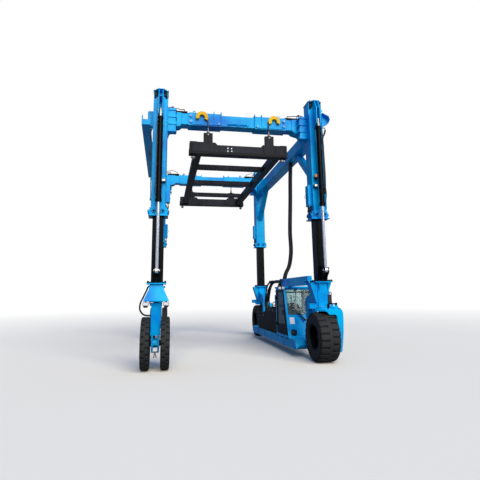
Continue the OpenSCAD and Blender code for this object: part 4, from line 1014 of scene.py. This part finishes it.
# ---------------------------------------------------------------- cab lamps and mirror
# Two white faced lamps hang from the roof's inner front corner, and a black mirror stands on
# a bent tube from the front column.
shells = [slab((x, -1.575, 1.70), (0.088, 0.06, 0.08), 0.012) for x in (1.325, 1.42)]
shells.append(slab((1.375, -1.565, 1.752), (0.20, 0.05, 0.024), 0.004))
put("roof_lamp_shells", shells, lamp_plastic, "chassis")
put("roof_lamp_lenses", [slab((x, -1.608, 1.702), (0.074, 0.010, 0.062), 0.006)
                         for x in (1.325, 1.42)], lens, "chassis")
stem = along([(2.062, -3.15, 1.36), (2.10, -3.18, 1.40), (2.115, -3.215, 1.50),
              (2.10, -3.235, 1.57), (2.07, -3.24, 1.575), (2.06, -3.24, 1.53)], 30)
put("mirror_shell", [pipe(stem, 0.009, 8), slab((2.062, -3.24, 1.42), (0.10, 0.03, 0.20), 0.012)],
    lamp_plastic, "chassis", True)
put("mirror_glass", [slab((2.062, -3.223, 1.42), (0.084, 0.006, 0.18), 0.003)], chrome, "chassis")

# ---------------------------------------------------------------- steering rods
# A short black steering rod ties each right yoke's fin to a bracket in front of its ring.
for corner, at in legs(right_legs):
    pin, hook = at([(0.285, 0.206, 1.308), (0.06, 0.240, 1.308)])
    parts = [pipe(np.linspace(pin, hook, 6), 0.015, 12),
             slab(at((0.270, 0.204, 1.308)), (0.045, 0.026, 0.045), 0.008),
             slab(at((0.06, 0.232, 1.262)), (0.05, 0.03, 0.11), 0.006)]
    put("steering_rod_" + corner, parts, black, corner + "_mount", True)

# ---------------------------------------------------------------- operator's seat
# A suspension seat: a dark moulded base on a bellows, and a cushion and backrest of black
# vinyl over foam, both crowned in the middle and rounded at their edges.


def cushion(width, depth, thick, crown, rows=22, columns=26):
    """A closed pad: a superellipse of power 4 in plan, scaled by a share from pole to pole.

    Height is half thick times the fourth root of one less the share to the power 4, plus
    a crown on the upper side that falls towards the edge.
    """
    a = turn(columns)
    v = np.linspace(-1, 1, rows)
    x = np.sign(np.cos(a)) * np.abs(np.cos(a)) ** 0.5 * width / 2
    y = np.sign(np.sin(a)) * np.abs(np.sin(a)) ** 0.5 * depth / 2
    share = np.sin(np.linspace(0.02, np.pi - 0.02, rows)) ** 0.35
    z = np.sign(v) * (1 - share ** 4) ** 0.25 * thick / 2
    z = z + (z > 0) * crown * (1 - share) ** 0.6
    points = np.stack([share[:, None] * x, share[:, None] * y, z[:, None] + 0 * x], -1)
    return points.reshape(-1, 3), grid_faces(rows, columns, caps=True)


seat_at = np.array((1.86, -1.13, 0.44))
pad, faces = cushion(0.45, 0.44, 0.10, 0.02)
seat_pad = outward(surface("seat_cushion", pad + seat_at + [0, 0, 0.355], faces, seat_vinyl))
back, faces = cushion(0.43, 0.46, 0.09, 0.02)
back = back[:, [0, 2, 1]] * [1, -1, 1] + seat_at + [0, 0.185, 0.615]
seat_back = outward(surface("seat_backrest", back, faces, seat_vinyl))
for piece in (seat_pad, seat_back):
    piece.data.shade_smooth()
    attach(piece, "chassis")
rise = np.linspace(0, 1, 60)[:, None]
bellows_r = 0.115 + 0.014 * np.cos(rise * 12 * np.pi)
a = turn(24)
bellows = np.stack([bellows_r * np.cos(a), bellows_r * np.sin(a), rise * 0.2 + 0.02 + 0 * a], -1)
parts = [(bellows.reshape(-1, 3) + seat_at, grid_faces(60, 24, caps=True)),
         slab(seat_at + [0, 0, 0.01], (0.30, 0.30, 0.02), 0.004),
         slab(seat_at + [0, 0, 0.26], (0.34, 0.36, 0.08), 0.012),
         slab(seat_at + [0, 0.222, 0.45], (0.12, 0.02, 0.36), 0.006)]
for x in (-0.208, 0.208):
    parts += [slab(seat_at + [x, 0.02, 0.54], (0.04, 0.26, 0.035), 0.012),
              slab(seat_at + [x, 0.16, 0.44], (0.03, 0.03, 0.18), 0.008)]
seat_base = put("seat_base", parts, lamp_plastic, "chassis", True)
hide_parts("operator_seat")

# ---------------------------------------------------------------- cab controls
# In front of the seat a console carries the steering wheel on a short column, and a joystick
# box stands on each side of the seat.
wheel_at, wheel_r, rim_r, tilt = np.array((1.86, -1.46, 1.02)), 0.17, 0.013, 0.5


def tilted(points):
    """Leans points about the X axis by tilt and carries them to the steering wheel's middle."""
    p = np.asarray(points, float)
    y = p[..., 1] * np.cos(tilt) - p[..., 2] * np.sin(tilt)
    z = p[..., 1] * np.sin(tilt) + p[..., 2] * np.cos(tilt)
    return np.stack([p[..., 0], y, z], -1) + wheel_at


a, b = turn(48)[:, None], turn(10)
torus = np.stack([(wheel_r + rim_r * np.cos(b)) * np.cos(a),
                  (wheel_r + rim_r * np.cos(b)) * np.sin(a), rim_r * np.sin(b) + 0 * a], -1)
parts = [(tilted(np.vstack([torus, torus[:1]])).reshape(-1, 3), grid_faces(49, 10))]
for k in range(3):
    a = k * 2 * np.pi / 3 + 0.52
    parts.append(pipe(tilted([(0.16 * u * np.cos(a), 0.16 * u * np.sin(a), -0.012 * (1 - u))
                              for u in np.linspace(0, 1, 5)]), 0.008, 8))
hub, faces = dome((0, 0, -0.02), 0.035, 0.03, (0, 0, 1), 20)
parts += [(tilted(hub), faces),
          pipe(tilted([(0, 0, -0.02), (0, 0, -0.10), (0, 0, -0.20)]), 0.028, 12),
          slab((wheel_at[0], -1.575, 0.68), (0.34, 0.14, 0.46), 0.03)]
put("steering_wheel", parts, lamp_plastic, "chassis", True)
sticks = []
for x in (seat_at[0] - 0.30, seat_at[0] + 0.30):
    sticks += [slab((x, -1.16, 0.80), (0.10, 0.30, 0.14), 0.02),
               slab((x, -1.16, 0.60), (0.08, 0.16, 0.28), 0.01),
               pipe(np.linspace((x, -1.24, 0.87), (x, -1.24, 0.96), 5), 0.010, 8),
               dome((x, -1.24, 0.955), 0.022, 0.035, (0, 0, 1), 16)]
put("joystick_boxes", sticks, lamp_plastic, "chassis", True)

# ---------------------------------------------------------------- cab door fittings
# The door is a black framed leaf with a rubber seal round its window, a middle rail across
# the pane, a lever handle and a grey kick plate.
handle = along([(1.444, -1.44, 1.10), (1.420, -1.44, 1.10), (1.416, -1.44, 1.05),
                (1.420, -1.44, 1.00), (1.444, -1.44, 1.00)], 24)
put("door_rail_and_handle", [slab((1.4695, -1.16, 1.215), (0.044, 0.66, 0.035), 0.006),
                             slab((1.447, -1.44, 1.06), (0.014, 0.05, 0.13), 0.005),
                             pipe(handle, 0.008, 8)], lamp_plastic, "door", True)
seal = frame_strip([(1.450, -1.6072, 0.70), (1.450, -0.85, 0.70), (1.450, -0.85, 1.636),
                    (1.450, -1.43, 1.636)], 0.009)
put("door_seal", [seal], hose_rubber, "door", True)
kick = [slab((1.447, -1.25, 0.575), (0.006, 0.80, 0.15), 0.002)]
kick += [hexes((1.444, y, 0.635), (-1, 0, 0), 0.007, 0.006) for y in (-1.60, -1.25, -0.90)]
put("door_kick_plate", kick, slate, "door")

# ---------------------------------------------------------------- power housing fittings
# The engine's housing is sheet steel in a dull olive grey. Latched lids fill its sides and
# roof, louvres its outer side and its rear, and a filler cap and a tubular guard of zinc
# plated steel stand on its level top beside the exhaust.
olive = enamel("dull_olive_grey_enamel", "#20221D", "#2A2C26", "#151612",
               "#5F5C54", gloss=0.5, grime=0.7, seed=13.0)
nodes["power_housing"].data.materials[0] = olive
lids, slats, latches = [], [], []


def housing_top(y):
    """Height of the housing's roof at y: level to 0.06, then falling 0.4 over 1.57."""
    return 1.16 - 0.4 / 1.57 * np.maximum(np.asarray(y, float) - 0.06, 0)


for y0, y1 in ((-0.68, -0.335), (-0.315, 0.045), (0.07, 0.80), (0.825, 1.60)):
    y = np.linspace(y0, y1, 5)
    outline = np.vstack([np.column_stack([y, np.full(5, 0.46)]),
                         np.column_stack([y, housing_top(y) - 0.03])[::-1]])
    for x, latch_x in ((1.444, 1.443), (2.270, 2.277)):
        lids.append(prism(outline, x, x + 0.006, axis=0))
        latches += [slab((latch_x, end, housing_top(end) - 0.10), (0.012, 0.026, 0.05), 0.003)
                    for end in (y0 + 0.03, y1 - 0.03)]
    slats += [slab((2.280, (y0 + y1) / 2, z), (0.012, (y1 - y0) * 0.6, 0.014), 0.003)
              for z in np.arange(0.58, housing_top(y1) - 0.16, 0.05)]
y = np.linspace(0.10, 1.58, 7)
roof_lid = np.vstack([np.column_stack([y, housing_top(y) + 0.001]),
                      np.column_stack([y, housing_top(y) + 0.008])[::-1]])
lids += [prism(roof_lid, x0, x1, axis=0) for x0, x1 in ((1.48, 1.52), (1.62, 2.24))]
lids.append(slab((1.90, -0.30, 1.164), (0.26, 0.50, 0.012), 0.003))
slats += [slab((1.86, 1.636, z), (0.62, 0.012, 0.014), 0.003)
          for z in np.arange(0.49, 0.72, 0.035)]
latches += [slab((x, y, housing_top(y) + 0.014), (0.09, 0.03, 0.016), 0.004)
            for y in (0.45, 1.0) for x in (1.70, 2.16)]
put("housing_lids", lids, olive, "chassis")
put("housing_louvres", slats, olive, "chassis")
put("housing_latches", latches, zinc, "chassis")
guard = [dome((2.08, -0.10, 1.158), 0.05, 0.04, (0, 0, 1)),
         pipe(along([(1.48, -0.27, 1.165), (1.475, -0.27, 1.25), (1.50, -0.27, 1.285),
                     (1.545, -0.27, 1.30)], 20), 0.014, 10),
         pipe(circle((1.62, -0.27, 1.21), 0.11, 40, "z")[4:37], 0.016, 10)]
put("muffler_guard", guard, zinc, "chassis", True)

# ---------------------------------------------------------------- exhaust
# The muffler's top and its bent outlet are plain steel that heat has blued and browned, held
# by two clamped straps.
soot, t = blank("heat_dulled_exhaust_steel")
broad = weather(t, seed=21.0)[2]
tone = add(t, "ValToRGB", [(0, broad)], [(0.35, "#5E5A55"), (0.6, "#3F3B38"), (0.75, "#6A4A38")])
skin = add(t, "BsdfPrincipled", [("Base Color", tone)], Metallic=0.6, Roughness=0.6)
add(t, "OutputMaterial", [("Surface", skin)])
stack = along([(1.62, -0.27, 1.50), (1.62, -0.27, 1.56), (1.62, -0.24, 1.60),
               (1.62, -0.18, 1.62)], 20)
parts = [dome((1.62, -0.27, 1.485), 0.078, 0.03, (0, 0, 1), 32), pipe(stack, 0.035, 16)]
for z in (1.22, 1.42):
    strap = circle((1.62, -0.27, z), 0.078, 32, "z")
    parts.append(pipe(np.vstack([strap, strap[:2]]), 0.006, 6))
put("exhaust_top", parts, soot, "chassis", True)

# ---------------------------------------------------------------- hoses behind the cab
# Suction and pressure hoses leave a valve block on the roof beam's end, drop to the housing in
# a thick bunch beside the two large ones, and are strapped to them.
bunch, fittings = [], []
for x, y, foot in ((1.545, -0.62, 1.53), (1.585, -0.56, 1.57), (1.625, -0.60, 1.61),
                   (1.665, -0.52, 1.66), (1.70, -0.58, 1.70)):
    path = along([(x, -0.955, 1.865), (x, -0.90, 1.866), (x, -0.76, 1.84), (x, y - 0.06, 1.72),
                  (foot, y + 0.02, 1.50), (foot, y + 0.03, 1.30), (foot, y + 0.03, 1.175)], 40)
    bunch.append(pipe(path, 0.017, 10))
    fittings += [hexes((foot, y + 0.03, 1.16), (0, 0, 1), 0.024, 0.03),
                 hexes((x, -0.962, 1.865), (0, 1, 0), 0.022, 0.03)]
thick_x = 1.562
for off in (-0.075, 0.075):
    path = along([(thick_x + off * near, y, z) for near, y, z in
                  ((1, -0.955, 1.90), (1, -0.60, 1.905), (1, 0.05, 1.895), (0.9, 0.46, 1.76),
                   (0.8, 0.70, 1.45), (0.8, 0.775, 1.20), (0.8, 0.735, 1.005))], 60)
    bunch.append(pipe(path, 0.026, 12))
straps = [slab((thick_x, y, 1.90), (0.215, 0.035, 0.085), 0.01) for y in (-0.70, -0.25, 0.02)]
straps += [slab((1.63, -0.975, 1.90), (0.23, 0.028, 0.13), 0.004),
           slab((1.62, -0.575, 1.235), (0.22, 0.14, 0.09), 0.012)]
put("housing_hose_bunch", bunch, hose_rubber, "chassis", True)
put("housing_hose_unions", fittings, zinc, "chassis")
put("housing_hose_straps", straps, lamp_plastic, "chassis")

# ---------------------------------------------------------------- fittings of the right columns
# A small steel junction box is welded inboard of each right column, over the wheel. Outboard
# of each right sleeve's head hangs a folded hollow bracket, and from a zinc plated elbow a
# thick rubber line runs down beside the lift barrel.
wing = [(0.165, 6.03), (0.335, 5.945), (0.360, 5.86), (0.325, 5.775), (0.20, 5.69),
        (0.165, 5.81)]
flag = [(0.11, 6.14), (0.215, 6.14), (0.19, 6.09), (0.165, 6.02)]
boxes = []
for corner, at in legs(right_legs):
    boxes += [slab(at((-0.245, 0.03, 1.255)), (0.20, 0.15, 0.11), 0.006),
              slab(at((-0.245, 0.03, 1.315)), (0.215, 0.165, 0.012), 0.003)]
    parts = [prism(wing, 0.13, 0.144), prism(flag, 0.15, 0.162)]
    for first, last in ((1, 2), (2, 3), (3, 4), (0, 1)):
        edge = np.array([wing[first], wing[last]])
        fold = edge + (np.array([0.25, 5.86]) - edge) * 0.05
        parts.append(prism(np.vstack([edge, fold[::-1]]), 0.132, 0.258))
    parts = [(at(points), faces) for points, faces in parts]
    put("head_bracket_" + corner, parts, azure, "lifting_frame")
put("column_junction_boxes", boxes, azure, "chassis")
for corner, at in legs(right_legs):
    elbow = along(at([(0.13, 0.30, 5.60), (0.165, 0.31, 5.60), (0.185, 0.31, 5.58),
                      (0.187, 0.31, 5.54)]), 20)
    nut = hexes(at((0.187, 0.31, 5.545)), (0, 0, -1), 0.026, 0.04)
    put("head_elbow_" + corner, [pipe(elbow, 0.018, 14), nut], zinc, "lifting_frame", True)
    line = along(at([(0.187, 0.31, 5.53), (0.16, 0.325, 5.44), (0.108, 0.335, 5.34),
                     (0.104, 0.335, 5.1), (0.104, 0.335, 4.2), (0.108, 0.31, 4.04),
                     (0.116, 0.262, 3.92)]), 60)
    put("barrel_line_" + corner, [pipe(line, 0.022, 12)], hose_rubber, "lifting_frame", True)

# ---------------------------------------------------------------- grab rail
# A bent tube of zinc plated steel guards the housing's inner front corner and gives a hold.
grip = along([(1.345, -0.30, 1.32), (1.345, -0.30, 1.22), (1.385, -0.30, 1.165),
              (1.56, -0.30, 1.160), (1.60, -0.30, 1.20), (1.605, -0.30, 1.31)], 50)
put("housing_grab_rail", [pipe(grip, 0.018, 12)], zinc, "chassis", True)

# ---------------------------------------------------------------- hoist ropes
# Four short steel wire ropes hold the spreader under its carriages. Each is laid from six
# strands, greased, and ends below in a turned steel socket.
rope_steel = metal("greased_wire_rope", "#5E5C58", 0.42, 0.2, 4.0, seed=9.0)
rope_r, rope_top, rope_foot = 0.014, 5.843, 5.446


def laid_rope(top, low, radius, strands=6, lay=0.11, rows=90, columns=48):
    """A rope between two heights: the radius swells and dips strands times round a turn.

    The radius is scaled by 0.82 + 0.18 |cos| of half the strand angle, and the section
    turns once in each lay length, so that the strands wind round the rope.
    """
    z = np.linspace(top[2], low[2], rows)[:, None]
    a = turn(columns)[None]
    swell = np.abs(np.cos(strands / 2 * (a + 2 * np.pi * z / lay)))
    rho = radius * (0.82 + 0.18 * swell)
    points = np.stack([top[0] + rho * np.cos(a), top[1] + rho * np.sin(a), z + 0 * a], -1)
    return points.reshape(-1, 3), grid_faces(rows, columns, caps=True)


sockets = []
for end, s, tag in quarters:
    x, y = s * hang_x, end * hang_y
    top, low = (x, y, rope_top), (x, y, rope_foot)
    rope = outward(surface("hoist_rope_" + tag, *laid_rope(top, low, rope_r), rope_steel))
    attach(rope, "spreader")
    if tag == "front_left":
        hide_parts("hoist_ropes")
    sockets.append(pipe([(x, y, z) for z in (5.452, 5.49, 5.515, 5.55, 5.575)],
                        (0.030, 0.030, 0.024, 0.019, 0.017), 20))
put("rope_sockets", sockets, steel, "spreader", True)

# ---------------------------------------------------------------- leg hoses
# On the outboard side of each left leg a thick drive hose bows out of the skirt and turns
# back into the fork's stem, slack enough for the steering.


def free_hose(name, points, radius):
    """A smooth hose through points, shaded smooth, with its transform applied.
    """
    path = along(points, 60)
    hose = outward(surface(name, *pipe(path, radius, 12), hose_rubber))
    hose.data.shade_smooth()
    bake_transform(hose)


for corner, at in legs(left_legs):
    route = at([(0.12, 0.13, 1.765), (0.165, 0.13, 1.75), (0.21, 0.125, 1.66),
                (0.275, 0.12, 1.52), (0.335, 0.11, 1.38), (0.335, 0.09, 1.25),
                (0.27, 0.06, 1.16), (0.18, 0.03, 1.13), (0.10, 0.0, 1.13)])
    free_hose("leg_hose_" + corner, route, 0.018)

# ---------------------------------------------------------------- hose bundle to the frame
# The oil and power lines climb from the roof beam to the right top beam in one thick bundle
# of three, hung slack so that the frame can be lifted and lowered.
climb = np.array([(1.60, -1.15, 1.95), (1.64, -1.15, 2.10), (1.74, -1.16, 2.30),
                  (1.80, -1.18, 2.60), (1.80, -1.20, 3.3), (1.84, -1.22, 4.3),
                  (1.86, -1.24, 5.0), (1.88, -1.26, 5.38)])
for k in range(3):
    off = np.array([0.036 * np.cos(k * 2.1), 0.036 * np.sin(k * 2.1), 0])
    free_hose(f"frame_hose_{k}", climb + off, 0.028)
